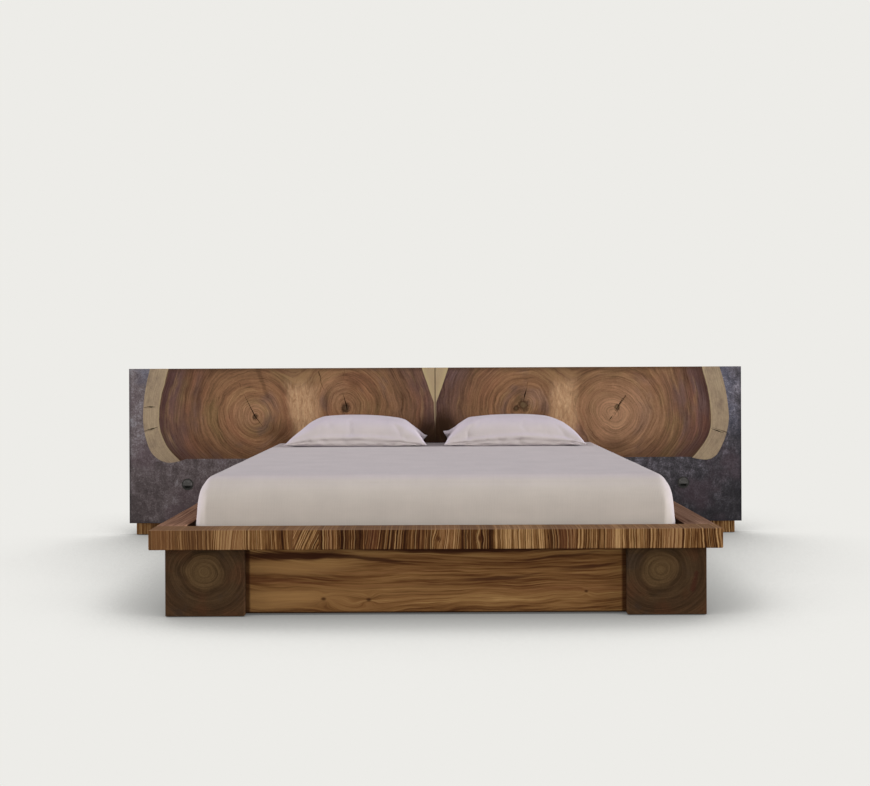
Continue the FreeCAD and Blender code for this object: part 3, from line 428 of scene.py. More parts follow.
def striped_wood():
    """Short pieces glued side by side, so the grain runs up the front and back across the top."""
    g = Graph("striped_wood")
    pieces = g.add("TexVoronoi", {"W": g.x, "Scale": 9}, voronoi_dimensions="1D", feature="F1")
    tint, tilt, other = g.add("SeparateColor", {0: pieces.outputs["Color"]}).outputs
    height = g.less(g.z, (DECK_LOW + DECK_HIGH) / 2)
    swung = g.swing(tilt, 1)
    fanned = g.plus(0.14, g.times(g.smooth(g.size(g.plus(g.x, 0.4)), 0.5, 0.25), 0.7))
    lean = g.times(height, g.times(swung, g.size(swung)), fanned)
    sway = g.swing(g.noise(g.stretched(6, 2.5, 12), 1, 3), 0.006)
    lane = g.plus(g.x, lean, sway, g.times(other, 0.9))
    burl = 0
    for knot_x, knot_z in RAIL_KNOTS:
        near = g.distance(g.x, g.z, knot_x, knot_z, 0.8)
        lane = g.plus(lane, g.times(g.bell(near, 0.016), g.less(g.x, knot_x), -0.8))
        burl = g.sum("MAXIMUM", burl, g.smooth(near, 0.013, 0.003))
    fine = g.line_noise(lane, 420, 2, 0.65)
    middle = g.line_noise(lane, 150, 3, 0.7)
    broad = g.line_noise(lane, 38, 2, 0.6)
    patch = g.line_noise(g.plus(g.x, 3), 7)
    fibre = g.noise(g.stretched(160, 30, 14), 1, 3, 0.6)
    blotch = g.noise(g.stretched(60, 8, 14), 1, 3, 0.6)
    bright_line = g.smooth(g.line_noise(g.plus(lane, 9), 120, 1), 0.62, 0.74)
    level = g.swings(0.47, (fine, 0.5), (middle, 1.08), (broad, 0.5), (patch, 0.3))
    level = g.swings(level, (tint, 0.27), (fibre, 0.24), (blotch, 0.24))
    tones = ((40, 22, 12), (68, 42, 23), (98, 67, 38), (128, 95, 60), (168, 136, 94))
    colour = g.tinted(
        g.ramp(level, (0.02, 0.28, 0.52, 0.76, 1), tones),
        (g.smooth(patch, 0.5, 0.68), 0.3, (98, 60, 42)),
        (bright_line, 0.5, (166, 134, 92)),
        (g.smooth(g.x, -0.6, -0.95), 0.4, (100, 71, 46)),
        (g.times(burl, g.smooth(g.y, FACE_Y, 0)), 0.75, (52, 27, 15)),
        # Painted light: the top face is painted paler, standing in for the light and sheen that fall on it
        (g.smooth(g.z, DECK_HIGH - 0.003, DECK_HIGH - 0.001), 0.5, (138, 110, 87)),
    )
    g.bump(g.plus(fine, middle), 0.2, 0.0006)
    return g.finish(colour, g.swings(0.7, (fine, 0.1)), 0)


def long_grain(name, axis, tones, seed, wave=0.012, inner=0, knots=(), ends=(), streaks=(), bow=0, painted_shadow_edge=0):
    """Boards with wavy grain along X or Y, with dark knots, ends and streaks, and a low edge and an inner
    face painted dark as shade.
    """
    g = Graph(name)
    along, across = (g.x, g.y) if axis == "x" else (g.y, g.x)
    here = g.vector(g.times(along, 0.9), g.times(across, 2.6), g.plus(g.times(g.z, 2.6), seed))
    drift = g.noise(here, 1)
    sway = g.noise(here, 4.2)
    bend = g.times(along, along, -bow)
    level = g.swings(g.plus(g.z, across, bend), (drift, wave * 2.4), (sway, wave * 0.35))
    for knot_along, knot_z, reach in knots:
        near = g.distance(along, g.z, knot_along, knot_z, 1.7)
        level = g.plus(level, g.times(g.bell(near, reach), g.less(g.z, knot_z), 1.6))

    def grain(length, shift, height, *settings):
        """Noise that is drawn out along the grain."""
        return g.noise((g.times(along, length), seed + shift, g.times(level, height)), 1, *settings)

    wisp = grain(3, 0, 110, 6, 0.66, 0.2)
    vein = grain(1.4, 3, 60, 3, 0.55, 0.2)
    broad = grain(0.6, 6, 17)
    hue = grain(0.8, 9, 22)
    fine = grain(9, 0, 420, 3, 0.6)
    value = g.swings(0.57, (wisp, 0.56), (broad, 0.5), (fine, 0.24))
    value = g.plus(value, g.times(g.line_at(vein, 0.5, 0.07), -0.13))
    colour = g.ramp(value, (0.08, 0.34, 0.54, 0.76, 0.98), tones)
    colour = g.tinted(colour, (g.smooth(hue, 0.52, 0.72), 0.3, (104, 66, 44)))
    for streak_along, streak_z, half_length, half_width, slope, strength, tint in streaks:
        off = g.less(along, streak_along)
        up = g.plus(g.less(g.z, streak_z), g.times(off, -slope), g.swing(sway, 0.02))
        near = g.slant(g.times(off, 1 / half_length), g.times(up, 1 / half_width))
        colour = g.tinted(colour, (g.smooth(g.swings(near, (wisp, 0.7)), 1.2, 0.4), strength, tint))
    for knot_along, knot_z, reach in knots:
        near = g.distance(along, g.z, knot_along, knot_z, 1.5)
        colour = g.tinted(colour, (g.smooth(near, reach * 0.5, reach * 0.12), 0.8, tones[0]))
    if ends:
        end = g.smooth(g.swings(g.size(along), (wisp, 0.004)), *ends)
        colour = g.tinted(colour, (end, 0.8, (40, 20, 12)))
    # Painted shadow: the low edge is painted near black, as the shadow gap under the board
    if painted_shadow_edge:
        colour = g.tinted(colour, (g.smooth(g.z, painted_shadow_edge + 0.002, painted_shadow_edge - 0.002), 0.85, (26, 17, 10)))
    # Painted shade: the inner faces below the top are painted near black, as the shade in the deep gap beside
    # the mattress
    if inner:
        inside = g.smooth(g.size(across), inner + 0.003, inner + 0.001)
        below = g.smooth(g.z, DECK_HIGH - 0.002, DECK_HIGH - 0.007)
        colour = g.tinted(colour, (g.times(inside, below), 0.85, (20, 14, 11)))
    g.bump(g.plus(fine, wisp), 0.2, 0.0006)
    return g.finish(colour, g.swings(0.7, (fine, 0.1)), 0)


def leg_wood(name, pith_x, pith_z, seed, knots=()):
    """A log block: rings on its ends, and the same rings as long lines on its sides."""
    g = Graph(name)
    out = g.size(g.x)
    deep = g.times(g.y, 0.5)
    x = g.swings(out, (g.noise((g.plus(out, seed), deep, g.z), 7, 3), 0.011))
    z = g.swings(g.z, (g.noise((out, g.plus(deep, seed), g.z), 6, 3), 0.009))
    rings = g.distance(x, z, pith_x, pith_z, 1.1)
    around = g.vector(g.times(rings, 90), g.times(out, 8), g.times(g.z, 8))
    line = g.vector(g.times(rings, 55), g.plus(g.times(out, 2.5), seed), g.times(g.z, 2.5))
    fine = g.line_noise(g.plus(rings, seed), 330, 2, 0.65)
    middle = g.noise(around, 1, 3, 0.65)
    arc = g.line_at(g.noise(line, 1, 1), 0.5, 0.05)
    fibre = g.noise((out, g.times(g.y, 0.1), g.z), 130, 4, 0.7)
    cloud = g.noise((out, seed, g.z), 9, 4)
    tones = ((82, 64, 42), (73, 56, 37), (53, 39, 26), (66, 50, 34), (56, 41, 28), (65, 47, 32))
    tone = g.swings(g.times(rings, 1 / 0.22), (cloud, 0.16))
    red = g.noise((out, g.plus(deep, seed + 4), g.z), 10, 3)
    off_pith = g.smooth(rings, 0.06, 0.13)
    colour = g.tinted(
        g.ramp(tone, (0, 0.3, 0.42, 0.52, 0.72, 1), tones),
        (g.times(g.smooth(red, 0.52, 0.68), off_pith), 0.28, (78, 46, 30)),
        (g.times(g.smooth(red, 0.46, 0.32), off_pith), 0.35, (44, 40, 38)),
    )
    for start, end, width in knots:
        near = g.swings(g.from_segment(out, g.z, start, end), (fibre, width * 0.6))
        colour = g.tinted(colour, (g.smooth(near, width, width * 0.3), 0.6, (58, 28, 22)))
    even = g.smooth(g.sum("SINE", g.swings(g.times(rings, LEG_RING_TURN), (cloud, 4))), 0.5, 1)
    lines = g.swings(1, (fine, 0.3), (middle, 0.5), (fibre, 0.34))
    colour = g.shade(colour, g.plus(lines, g.times(arc, -0.18), g.times(even, 0.12)))
    g.bump(g.plus(fine, fibre), 0.25, 0.0006)
    return g.finish(colour, g.swings(0.7, (fine, 0.1)), 0)


def patina(name, seed, tones, climb, flecks, mottled):
    """Dark sheet metal with a cloudy chemical finish, blue-grey and violet, with pale specks."""
    g = Graph(name)
    moved = g.vector(g.plus(g.x, seed), g.y, g.z)
    cloud = g.noise(moved, 3.2, 4, 0.6, 0.3)
    mottle = g.noise(moved, 19, 6, 0.72, 0.6)
    push = g.times(cloud, 1.5)
    pushed = g.add("VectorMath", {0: g.stretched(9, 1, 1.4), 1: g.vector(push, push, push)})
    streak = g.noise(pushed.outputs[0], 3, 5, 0.7)
    rising = g.times(g.less(g.z, 0.5), climb)
    speckle = g.noise(g.place, 130, 3, 0.7)
    level = g.swings(0.5, (cloud, 0.42), (mottle, mottled), (streak, mottled * 0.55), (speckle, 0.4))
    level = g.plus(level, rising)
    hue = g.noise(moved, 4.4, 3)
    blue = g.times(g.smooth(hue, 0.5, 0.34), g.smooth(g.z, 0.5, 0.8))
    fleck = g.noise(g.place, 70, 4, 0.75)
    speck = g.times(g.smooth(fleck, 0.57, 0.7), g.smooth(g.plus(level, g.times(rising, 1.4)), 0.5, 1))
    end = g.smooth(g.size(g.x), PANEL_END - 0.018, PANEL_END - 0.001)
    rim = g.sum("MAXIMUM", end, g.smooth(g.z, PANEL_LOW + 0.03, PANEL_LOW + 0.002))
    colour = g.tinted(
        g.ramp(level, (0.08, 0.36, 0.58, 0.8, 1), tones),
        (g.smooth(hue, 0.5, 0.66), 0.3, (84, 66, 74)),
        (blue, 0.45, (74, 78, 96)),
        (speck, flecks, (156, 154, 162)),
        (rim, 0.45, (34, 32, 37)),
    )
    g.bump(g.plus(mottle, fleck), 0.2, 0.0006)
    return g.finish(colour, g.swings(0.72, (mottle, 0.2)), 0.08)


def metal(name, colour, dark, fineness, roughness, specular, metallic, painted_shade_height=None):
    """Smeared metal, which can be painted near black below a height, as painted shade round a cord slot."""
    g = Graph(name)
    smear = g.noise(g.stretched(1, 6, 1), fineness, 3)
    shade = g.mix(g.smooth(smear, 0.35, 0.7), dark, colour)
    if painted_shade_height:
        # Painted shade: below the height the metal is painted near black, which widens the dark of the cord
        # slot
        shade = g.mix(g.smooth(g.z, painted_shade_height, painted_shade_height - 0.006), shade, (16, 15, 15))
    g.bump(smear, 0.1, 0.0002)
    return g.finish(shade, g.swings(roughness, (smear, 0.15)), specular, metallic=metallic)


def felt():
    g = Graph("felt")
    fuzz = g.noise(g.place, 900, 3, 0.7)
    g.bump(fuzz, 0.5, 0.0005)
    return g.finish(g.ramp(fuzz, (0.3, 0.7), ((58, 54, 50), (92, 88, 82))), 0.95, 0.1)


def ticking():
    """The mattress's own cover: pale knitted cloth in stitched squares."""
    g = Graph("mattress_ticking")
    knit = g.noise(g.stretched(300, 300, 500), 3)
    soil = g.noise(g.place, 5, 3)
    level = g.plus(g.times(knit, 0.6), g.times(soil, 0.4))
    g.bump(knit, 0.3, 0.0006)
    return g.finish(g.ramp(level, (0.3, 0.7), ((196, 192, 184), (222, 219, 212))), 0.9, 0.1)


def linen(name, dark, light, painted_lift_base=0):
    """Plain-woven linen with a soft sheen, with painted light: a warmer tint on its front and back, and paler
    low down on them.
    """
    g = Graph(name)
    thread = 620
    warp = g.sum("SINE", g.times(g.plus(g.x, g.times(g.z, 0.7)), thread))
    weft = g.sum("SINE", g.times(g.plus(g.y, g.times(g.z, 0.7)), thread))
    weave = g.plus(g.times(warp, weft, 0.25), 0.5)
    slub = g.noise(g.stretched(3, 90, 90), 2, 3, 0.6)
    slub_across = g.noise(g.stretched(90, 3, 3), 2, 3, 0.6)
    cloud = g.noise(g.place, 7, 4, 0.6)
    threads = g.plus(g.swing(slub, 0.14), g.swing(slub_across, 0.14), g.times(g.less(weave, 0.5), 0.4))
    colour = g.ramp(g.swings(g.plus(0.5, threads), (cloud, 0.4)), (0.15, 0.85), (dark, light))
    # Painted light: faces that stand upright are tinted warmer than the top, for the warmer light on the
    # front
    facing = g.parts(g.add("NewGeometry").outputs["Normal"])
    upright = g.smooth(g.size(facing[1]), 0.5, 0.96)
    colour = g.mix(upright, colour, g.mix(1, colour, (255, 255, 243), "MULTIPLY"))
    # Painted light: low on the upright faces the cloth is painted up to a tenth paler, against the shade near
    # the deck
    painted_lift = g.times(upright, g.smooth(g.z, painted_lift_base + 0.12, painted_lift_base))
    colour = g.shade(colour, g.plus(1, g.times(painted_lift, 0.1)))
    g.bump(g.plus(weave, g.times(slub, 0.4), g.times(cloud, 4)), 0.2, 0.0005)
    return g.finish(colour, 0.86, 0.15, sheen_weight=0.05, sheen_roughness=0.5)


def dress(material, *names):
    """Gives carried-over pieces a material."""
    for name in names:
        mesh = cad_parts[name].data
        mesh.materials.clear()
        mesh.materials.append(material)


# Tones from dark to light: the visible woods, the two dark sheets and the hidden woods
GOLDEN = ((43, 23, 12), (75, 47, 26), (104, 73, 43), (126, 94, 58), (150, 119, 77))
SIDE_RAIL_TONES = {
    "left": ((82, 56, 44), (110, 81, 67), (138, 105, 85), (160, 126, 103), (182, 148, 124)),
    "right": ((68, 47, 37), (93, 70, 57), (117, 90, 74), (138, 109, 90), (160, 131, 109)),
}
WARM_PATINA = ((58, 52, 53), (77, 69, 70), (103, 94, 96), (131, 128, 132), (151, 152, 158))
COLD_PATINA = ((37, 35, 39), (51, 49, 53), (71, 68, 73), (104, 100, 109), (138, 134, 144))
PALE = ((150, 122, 88), (170, 142, 106), (186, 160, 122), (198, 174, 138), (208, 188, 154))
BROWN = ((70, 48, 32), (92, 66, 46), (112, 84, 60), (130, 100, 72), (146, 116, 86))
DARK_STREAK = (48, 25, 17)
LIGHT_STREAK = (142, 108, 68)
# The front board's knots, each a place along and up and a reach, and its streaks: a place along and up, half
# a length and width, a slope, a strength and a colour. The long dark streak along its top is painted shadow.
BOARD_KNOTS = ((-0.443, 0.064, 0.03), (-0.265, 0.06, 0.03), (0.592, 0.09, 0.022))
BOARD_STREAKS = (
    (-0.62, 0.19, 0.34, 0.034, -0.02, 0.6, LIGHT_STREAK),
    (-0.66, 0.06, 0.3, 0.045, 0.03, 0.6, LIGHT_STREAK),
    (-0.2, 0.1, 0.3, 0.03, 0.03, 0.25, LIGHT_STREAK),
    (-0.58, 0.233, 0.3, 0.018, -0.015, 0.95, DARK_STREAK),
    (-0.28, 0.217, 0.2, 0.009, -0.06, 0.8, DARK_STREAK),
    # Painted shadow: the shade under the foot rail, along the board's top
    (0.1, 0.264, 0.7, 0.02, 0, 0.9, DARK_STREAK),
    (0.6, 0.192, 0.14, 0.008, 0.09, 0.6, DARK_STREAK),
    (0.26, 0.152, 0.16, 0.008, 0.08, 0.65, DARK_STREAK),
    (0.5, 0.228, 0.2, 0.007, 0.1, 0.5, DARK_STREAK),
)
# Where the boards' dark ends begin and are full, and the height below which their low edge is painted dark as
# shadow
BOARD_ENDS = (0.728, 0.738)
BOARD_PAINTED_SHADOW_EDGE = 0.014
# The piths of the legs' rings, out from the middle and up, and a dark red mark on the right legs
LEFT_LEG_PITH = (0.9025, 0.1759)
RIGHT_LEG_PITH = (0.880, 0.1798)
RIGHT_LEG_MARKS = (((1.005, 0.10), (1.02, 0.17), 0.016),)


def dress_cad():
    """Gives every carried-over piece its finish."""
    cross_wood = long_grain("frame_wood_across", "x", BROWN, 3)
    bronze_ring = metal("bronze_ring", (40, 37, 36), (24, 22, 21), 80, 0.45, 0.4, 0.3)
    # The cap is painted dark below 0.295 m, as painted shade round its cord slot
    bronze_cap = metal("bronze_cap", (84, 81, 82), (58, 56, 56), 80, 0.45, 0.4, 0.3, 0.295)
    for word, facts in SLABS.items():
        dress(slab_wood(word, **facts), f"log_slab_{word}")
        rail_wood = long_grain(f"rail_wood_{word}", "y", SIDE_RAIL_TONES[word], 2, 0.02, RAIL_INNER)
        dress(rail_wood, f"side_rail_{word}")
        for kind in ("top_rail", "bottom_rail", "end_stile", "mid_stile", "seam_stile"):
            dress(cross_wood, f"headboard_{kind}_{word}")
        dress(long_grain(f"core_board_{word}", "x", PALE, 8), f"headboard_core_{word}")
        dress(bronze_ring, f"grommet_liner_{word}")
        dress(bronze_cap, f"grommet_cap_{word}")
    dress(striped_wood(), "foot_rail", "plinth_left", "plinth_right")
    marked = {"knots": BOARD_KNOTS, "ends": BOARD_ENDS, "streaks": BOARD_STREAKS, "painted_shadow_edge": BOARD_PAINTED_SHADOW_EDGE}
    boards = long_grain("board_wood", "x", GOLDEN, 5, 0.05, bow=0.09, **marked)
    dress(boards, "kick_board_front", "kick_board_rear")
    dress(long_grain("side_board_wood", "y", GOLDEN, 9, 0.05), "kick_board_left", "kick_board_right")
    dress(leg_wood("leg_wood_left", *LEFT_LEG_PITH, 1), "log_leg_front_left", "log_leg_rear_left")
    right_leg = leg_wood("leg_wood_right", *RIGHT_LEG_PITH, 6, RIGHT_LEG_MARKS)
    dress(right_leg, "log_leg_front_right", "log_leg_rear_right")
    dress(patina("dark_patina_left", 2, WARM_PATINA, 0.44, 0.2, 0.46), "patina_sheet_left")
    dress(patina("dark_patina_right", 5, COLD_PATINA, 0.56, 0.8, 0.62), "patina_sheet_right")
    dress(long_grain("support_wood_across", "x", PALE, 12), "slats_long", "slats_short")
    support = long_grain("support_wood_along", "y", PALE, 14)
    dress(support, "side_cleat_left", "side_cleat_right", "leg_cleats", "centre_beam", "rim_dowels")
    dress(support, "centre_leg_front", "centre_leg_middle", "centre_leg_rear")
    steel = metal("zinc_steel", (176, 178, 180), (120, 122, 124), 60, 0.35, 0.5, 1)
    dress(steel, "beam_hangers", "slat_screws", "plinth_screws", "seam_bolts", "seam_nuts", "seam_washers")
    dress(steel, "headboard_bolts", "headboard_washers")
    dress(felt(), "leg_glides", "plinth_glides", "centre_leg_glides")


def clamp(value):
    """A value kept between 0 and 1."""
    return max(0, min(1, value))


def smooth_step(start, end, value):
    """0 up to the start, 1 from the end on, and a smooth step between."""
    share = clamp((value - start) / (end - start))
    return share * share * (3 - 2 * share)


def new_object(name, data):
    """A new object in the scene."""
    made = bpy.data.objects.new(name, data)
    scene.collection.objects.link(made)
    return made


def new_mesh(name, bm):
    """A mesh of what a bmesh holds."""
    mesh = bpy.data.meshes.new(name)
    bm.to_mesh(mesh)
    bm.free()
    return mesh


def level_square(name, reach, height):
    """A flat level square round the middle, as an object."""
    mesh = bpy.data.meshes.new(name)
    corners = [(x * reach, y * reach, height) for x, y in ((-1, -1), (1, -1), (1, 1), (-1, 1))]
    mesh.from_pydata(corners, [], [(0, 1, 2, 3)])
    return new_object(name, mesh)


def marks(low, high, fine, coarse, reach):
    """Places from low to high, closer together near both ends."""
    count = round(reach / fine)
    inner = high - low - 2 * reach
    steps = round(inner / coarse)
    near = [low + fine * step for step in range(count)]
    middle = [low + reach + inner * step / steps for step in range(steps + 1)]
    far = [high - fine * step for step in range(count)]
    return near + middle + far[::-1]


def box_mesh(name, xs, ys, zs, open_below=False):
    """The outside of a box as one mesh of small squares, at the given places along each axis."""
    bm = bmesh.new()
    made = {}

    def corner(*key):
        if key not in made:
            i, j, k = key
            made[key] = bm.verts.new((xs[i], ys[j], zs[k]))
        return made[key]

    last = [len(places) - 1 for places in (xs, ys, zs)]
    for axis, first, second in ((0, 1, 2), (1, 0, 2), (2, 0, 1)):
        for end in (0, last[axis]):
            if open_below and axis == 2 and end == 0:
                continue
            for a, b in product(range(last[first]), range(last[second])):
                corners = []
                for step_a, step_b in ((0, 0), (1, 0), (1, 1), (0, 1)):
                    key = [end, end, end]
                    key[first] = a + step_a
                    key[second] = b + step_b
                    corners.append(corner(*key))
                bm.faces.new(corners)
    bmesh.ops.recalc_face_normals(bm, faces=bm.faces)
    return new_mesh(name, bm)


# The mattress and its sheet: how far the top edge is rounded in and down, how the sides draw in above a share
# of the height, the corners' radii low down and at the top, and where and over which share they grow
EDGE_WIDTH = 0.06
EDGE_DEPTH = 0.12
SIDE_TAPER = 0.016
TAPER_START = 0.3
CORNER_LOW = 0.02
CORNER_HIGH = 0.075
CORNER_START = 0.3
CORNER_RISE = 0.45
# The flat facet that the folded cloth makes at the foot of each corner: its width across the end, its depth,
# and how far along the side it fades
FACET_WIDTH = 0.05
FACET_DEPTH = 0.028
FACET_FADE = 0.16
# The ticking's stitched squares
QUILT_PITCH = 0.12
QUILT_DEPTH = 0.0015
# The sheet's small pleats at its corners, how it turns in at its foot, and the cloth under the mattress
PLEAT_REACH = 0.045
PLEAT_WIDTH = 0.02
PLEAT_HEIGHT = 0.0028
TURN_HEIGHT = 0.014
TURN_DEPTH = 0.004


def rounded(place, low, high):
    """Moves a place on a box's outside onto a mattress's form, and gives the way that it faces.

    The top edge is rounded much further down than in, the sides draw in towards it, and the corners
    are fuller low down, with a flat facet on each end."""
    share = clamp((place.z - low.z) / (high.z - low.z))
    corner = CORNER_LOW + (CORNER_HIGH - CORNER_LOW) * clamp((share - CORNER_START) / CORNER_RISE)
    taper = SIDE_TAPER * max(0, share - TAPER_START) ** 1.5
    inner = Vector(
        (
            max(low.x + corner, min(high.x - corner, place.x)),
            max(low.y + corner, min(high.y - corner, place.y)),
            min(high.z - EDGE_DEPTH, place.z),
        )
    )
    away = place - inner
    away.x /= corner
    away.y /= corner
    away.z /= EDGE_DEPTH
    if away.length == 0:
        return place.copy(), Vector((0, 0, 1))
    away.normalize()
    flat = math.hypot(away.x, away.y)
    drawn = inner + Vector((away.x * corner, away.y * corner, away.z * EDGE_DEPTH))
    if flat:
        inset = taper + (EDGE_WIDTH + taper - corner) * (1 - flat)
        drawn.x -= away.x / flat * inset
        drawn.y -= away.y / flat * inset
    from_side = max(0, min(drawn.x - low.x, high.x - drawn.x))
    from_end = max(0, min(drawn.y - low.y, high.y - drawn.y))
    facet = FACET_DEPTH * max(0, 1 - from_side / FACET_WIDTH) * max(0, 1 - from_end / FACET_FADE)
    middle = (low.y + high.y) / 2
    drawn.y += math.copysign(facet * smooth_step(0.85, 0.55, share), middle - drawn.y)
    return drawn, away


def bake(piece):
    """Turns a piece's modifiers into its mesh."""
    graph = bpy.context.evaluated_depsgraph_get()
    mesh = bpy.data.meshes.new_from_object(piece.evaluated_get(graph))
    piece.modifiers.clear()
    piece.data = mesh
    for face in mesh.polygons:
        face.use_smooth = True


def soft_object(name, mesh, replaced, material):
    """Links a soft piece, smooths it and lets it stand for its CAD solid."""
    piece = new_object(name, mesh)
    piece.modifiers.new("smooth", "SUBSURF")
    bake(piece)
    piece.data.materials.clear()
    piece.data.materials.append(material)
    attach(piece, "bed")
    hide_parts(replaced)
    return piece


def make_mattress():
    """A tall foam mattress in quilted ticking, under its sheet."""
    low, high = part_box("mattress")
    xs = marks(low.x, high.x, 0.02, 0.06, 0.08)
    ys = marks(low.y, high.y, 0.02, 0.06, 0.08)
    zs = marks(low.z, high.z, 0.0135, 0.027, 0.054)
    mesh = box_mesh("mattress_pad", xs, ys, zs)
    for vertex in mesh.vertices:
        place, away = rounded(vertex.co, low, high)
        quilt = math.sin(place.x * math.pi / QUILT_PITCH) * math.sin(place.y * math.pi / QUILT_PITCH)
        vertex.co = place - away * QUILT_DEPTH * quilt * quilt
    pad = soft_object("mattress_pad", mesh, "mattress", ticking())


def sheet_wrinkle(place, away, low, high):
    """How far the sheet stands off the smooth form: ripples, fine creases and pleats at its low corners."""
    from_side = min(place.x - low.x, high.x - place.x)
    from_end = min(place.y - low.y, high.y - place.y)
    ripple = noise.noise(Vector((place.x * 2.2, place.y * 3.5, place.z * 9)))
    crease = abs(noise.noise(Vector((place.x * 5 + 7, place.y * 11, place.z * 16))))
    along = from_side if abs(away.y) > abs(away.x) else from_end
    pleat = math.cos(2 * math.pi * along / PLEAT_WIDTH) - 0.4
    pleat *= math.exp(-((along / PLEAT_REACH) ** 2)) * clamp((high.z - EDGE_DEPTH - place.z) / 0.1)
    return 0.0008 * ripple + 0.0012 * (0.3 - crease) + PLEAT_HEIGHT * pleat * (1 - abs(away.z))


def make_sheet(material):
    """A fitted sheet, drawn over the mattress and tucked in under its edge."""
    low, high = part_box("bed_sheet")
    xs = marks(low.x, high.x, 0.008, 0.024, 0.096)
    ys = marks(low.y, high.y, 0.008, 0.024, 0.096)
    zs = marks(low.z + 0.001, high.z, 0.012, 0.02, 0.06)
    mesh = box_mesh("fitted_sheet", xs, ys, zs, open_below=True)
    for vertex in mesh.vertices:
        place, away = rounded(vertex.co, low, high)
        turned = TURN_DEPTH * max(0, 1 - (place.z - low.z) / TURN_HEIGHT) ** 2
        away_flat = Vector((away.x, away.y, 0))
        vertex.co = place + away * sheet_wrinkle(place, away, low, high) - away_flat * turned
    sheet = soft_object("fitted_sheet", mesh, "bed_sheet", material)


PILLOW_FRAMES = 26
PILLOW_PRESSURE = 6
CASE_GRID = (64, 36)
CASE_MARGINS = (0.022, 0.026)
CASE_PUFF = 0.05
CASE_LIFT = 0.07
# How high a pillow's seam is before it settles, and after at its front, back and inner rear corner, as shares
SEAM_SHARE = 0.42
SEAM_FRONT_SHARE = 0.31
SEAM_BACK_SHARE = 0.25
SEAM_EAR_SHARES = {"left": 0.22, "right": 0.4}
SEAM_RIDGE = 0.008
# How full the lower layer is towards the seam, how deep its creases are, and how much thinner the ends are
LOWER_SPREAD = 0.45
CREASE_DEPTH = 0.014
OUTER_THINS = {"left": 0.36, "right": 0.2}
INNER_THIN = 0.1


def case_mesh(name, low, high, seed):
    """Two layers of cloth, sewn together at their edges and a little apart inside."""
    centre = (low + high) / 2
    half_length = (high.x - low.x) / 2 + CASE_MARGINS[0]
    half_width = (high.y - low.y) / 2 + CASE_MARGINS[1]
    start = CASE_PUFF
    columns, rows = CASE_GRID
    bm = bmesh.new()
    upper = {}
    for side in (1, -1):
        grid = {}
        for i, j in product(range(columns + 1), range(rows + 1)):
            if side == -1 and (i in (0, columns) or j in (0, rows)):
                grid[i, j] = upper[i, j]
                continue
            u = 2 * i / columns - 1
            v = 2 * j / rows - 1
            puff = start * ((1 - u**4) * (1 - v**4)) ** 0.7
            lump = 0.01 * noise.noise(Vector((u * 2 + seed, v * 2, side * 3)))
            up = side * puff * (1 if side == 1 else 0.6) + lump
            place = (centre.x + u * half_length, centre.y + v * half_width, low.z + CASE_LIFT + up)
            grid[i, j] = bm.verts.new(place)
        for i, j in product(range(columns), range(rows)):
            corners = [grid[i, j], grid[i + 1, j], grid[i + 1, j + 1], grid[i, j + 1]]
            bm.faces.new(corners if side == 1 else corners[::-1])
        upper = upper or grid
    return new_mesh(name, bm)


def inflate(pieces, rest_height):
    """Blows up the pillow cases and lets them settle on the bed."""
    rest = level_square("rest", 1.5, rest_height)
    rest.modifiers.new("rest", "COLLISION")
    rest.collision.cloth_friction = 20
    for piece in pieces:
        cloth = piece.modifiers.new("cloth", "CLOTH")
        settings = cloth.settings
        settings.quality = 8
        settings.use_pressure = True
        settings.uniform_pressure_force = PILLOW_PRESSURE
        settings.effector_weights.gravity = 0.12
        settings.air_damping = 4
        settings.bending_stiffness = 0.4
        cloth.collision_settings.distance_min = 0.003
        cloth.point_cache.frame_end = PILLOW_FRAMES
    for frame_number in range(1, PILLOW_FRAMES + 1):
        scene.frame_set(frame_number)
    for piece in pieces:
        bake(piece)
    bpy.data.objects.remove(rest)
    scene.frame_set(1)


def fit(mesh, low, high):
    """Scales a mesh a little on each axis, so that it fills a box."""
    for axis in range(3):
        places = [vertex.co[axis] for vertex in mesh.vertices]
        start, reach = min(places), max(places) - min(places)
        share = (high[axis] - low[axis]) / reach
        for vertex in mesh.vertices:
            vertex.co[axis] = low[axis] + (vertex.co[axis] - start) * share


def settle(mesh, low, high, inner_side, ear_share, outer_thin):
    """Lets a pillow sink: thin corners, an arched front seam and a creased lower layer under it."""
    size = high - low
    for vertex in mesh.vertices:
        u = 2 * (vertex.co.x - low.x) / size.x - 1
        v = 2 * (vertex.co.y - low.y) / size.y - 1
        back = (v + 1) / 2
        height = (vertex.co.z - low.z) / size.z
        inward = u * inner_side
        middle = max(0, 1 - abs(inward + 0.12 * (1 - u * u)) ** 2.2)
        back_seam = SEAM_BACK_SHARE * middle + ear_share * max(0, inward) ** 6
        settled = 0.05 + SEAM_FRONT_SHARE * middle * (1 - back) + back_seam * back
        if height < SEAM_SHARE:
            part = max(0, height / SEAM_SHARE)
            height = part * settled
            spread = math.copysign(abs(v) ** LOWER_SPREAD, v)
            crease = noise.noise(Vector((vertex.co.x * 24 + height * 60, v * 2, height * 9)))
            fold = CREASE_DEPTH * crease * part * (1 - part) * 4
            vertex.co.y = low.y + size.y * (spread + 1) / 2 + fold * math.copysign(1, -v)
            height += 0.5 * fold / size.z
        else:
            thin = outer_thin * smooth_step(0.45, 0.85, -inward) + INNER_THIN * smooth_step(0.6, 0.95, inward)
            crown = (height - SEAM_SHARE) / (1 - SEAM_SHARE)
            height = settled + crown * (1 - settled) * (1 - thin)
        vertex.co.z = low.z + height * size.z


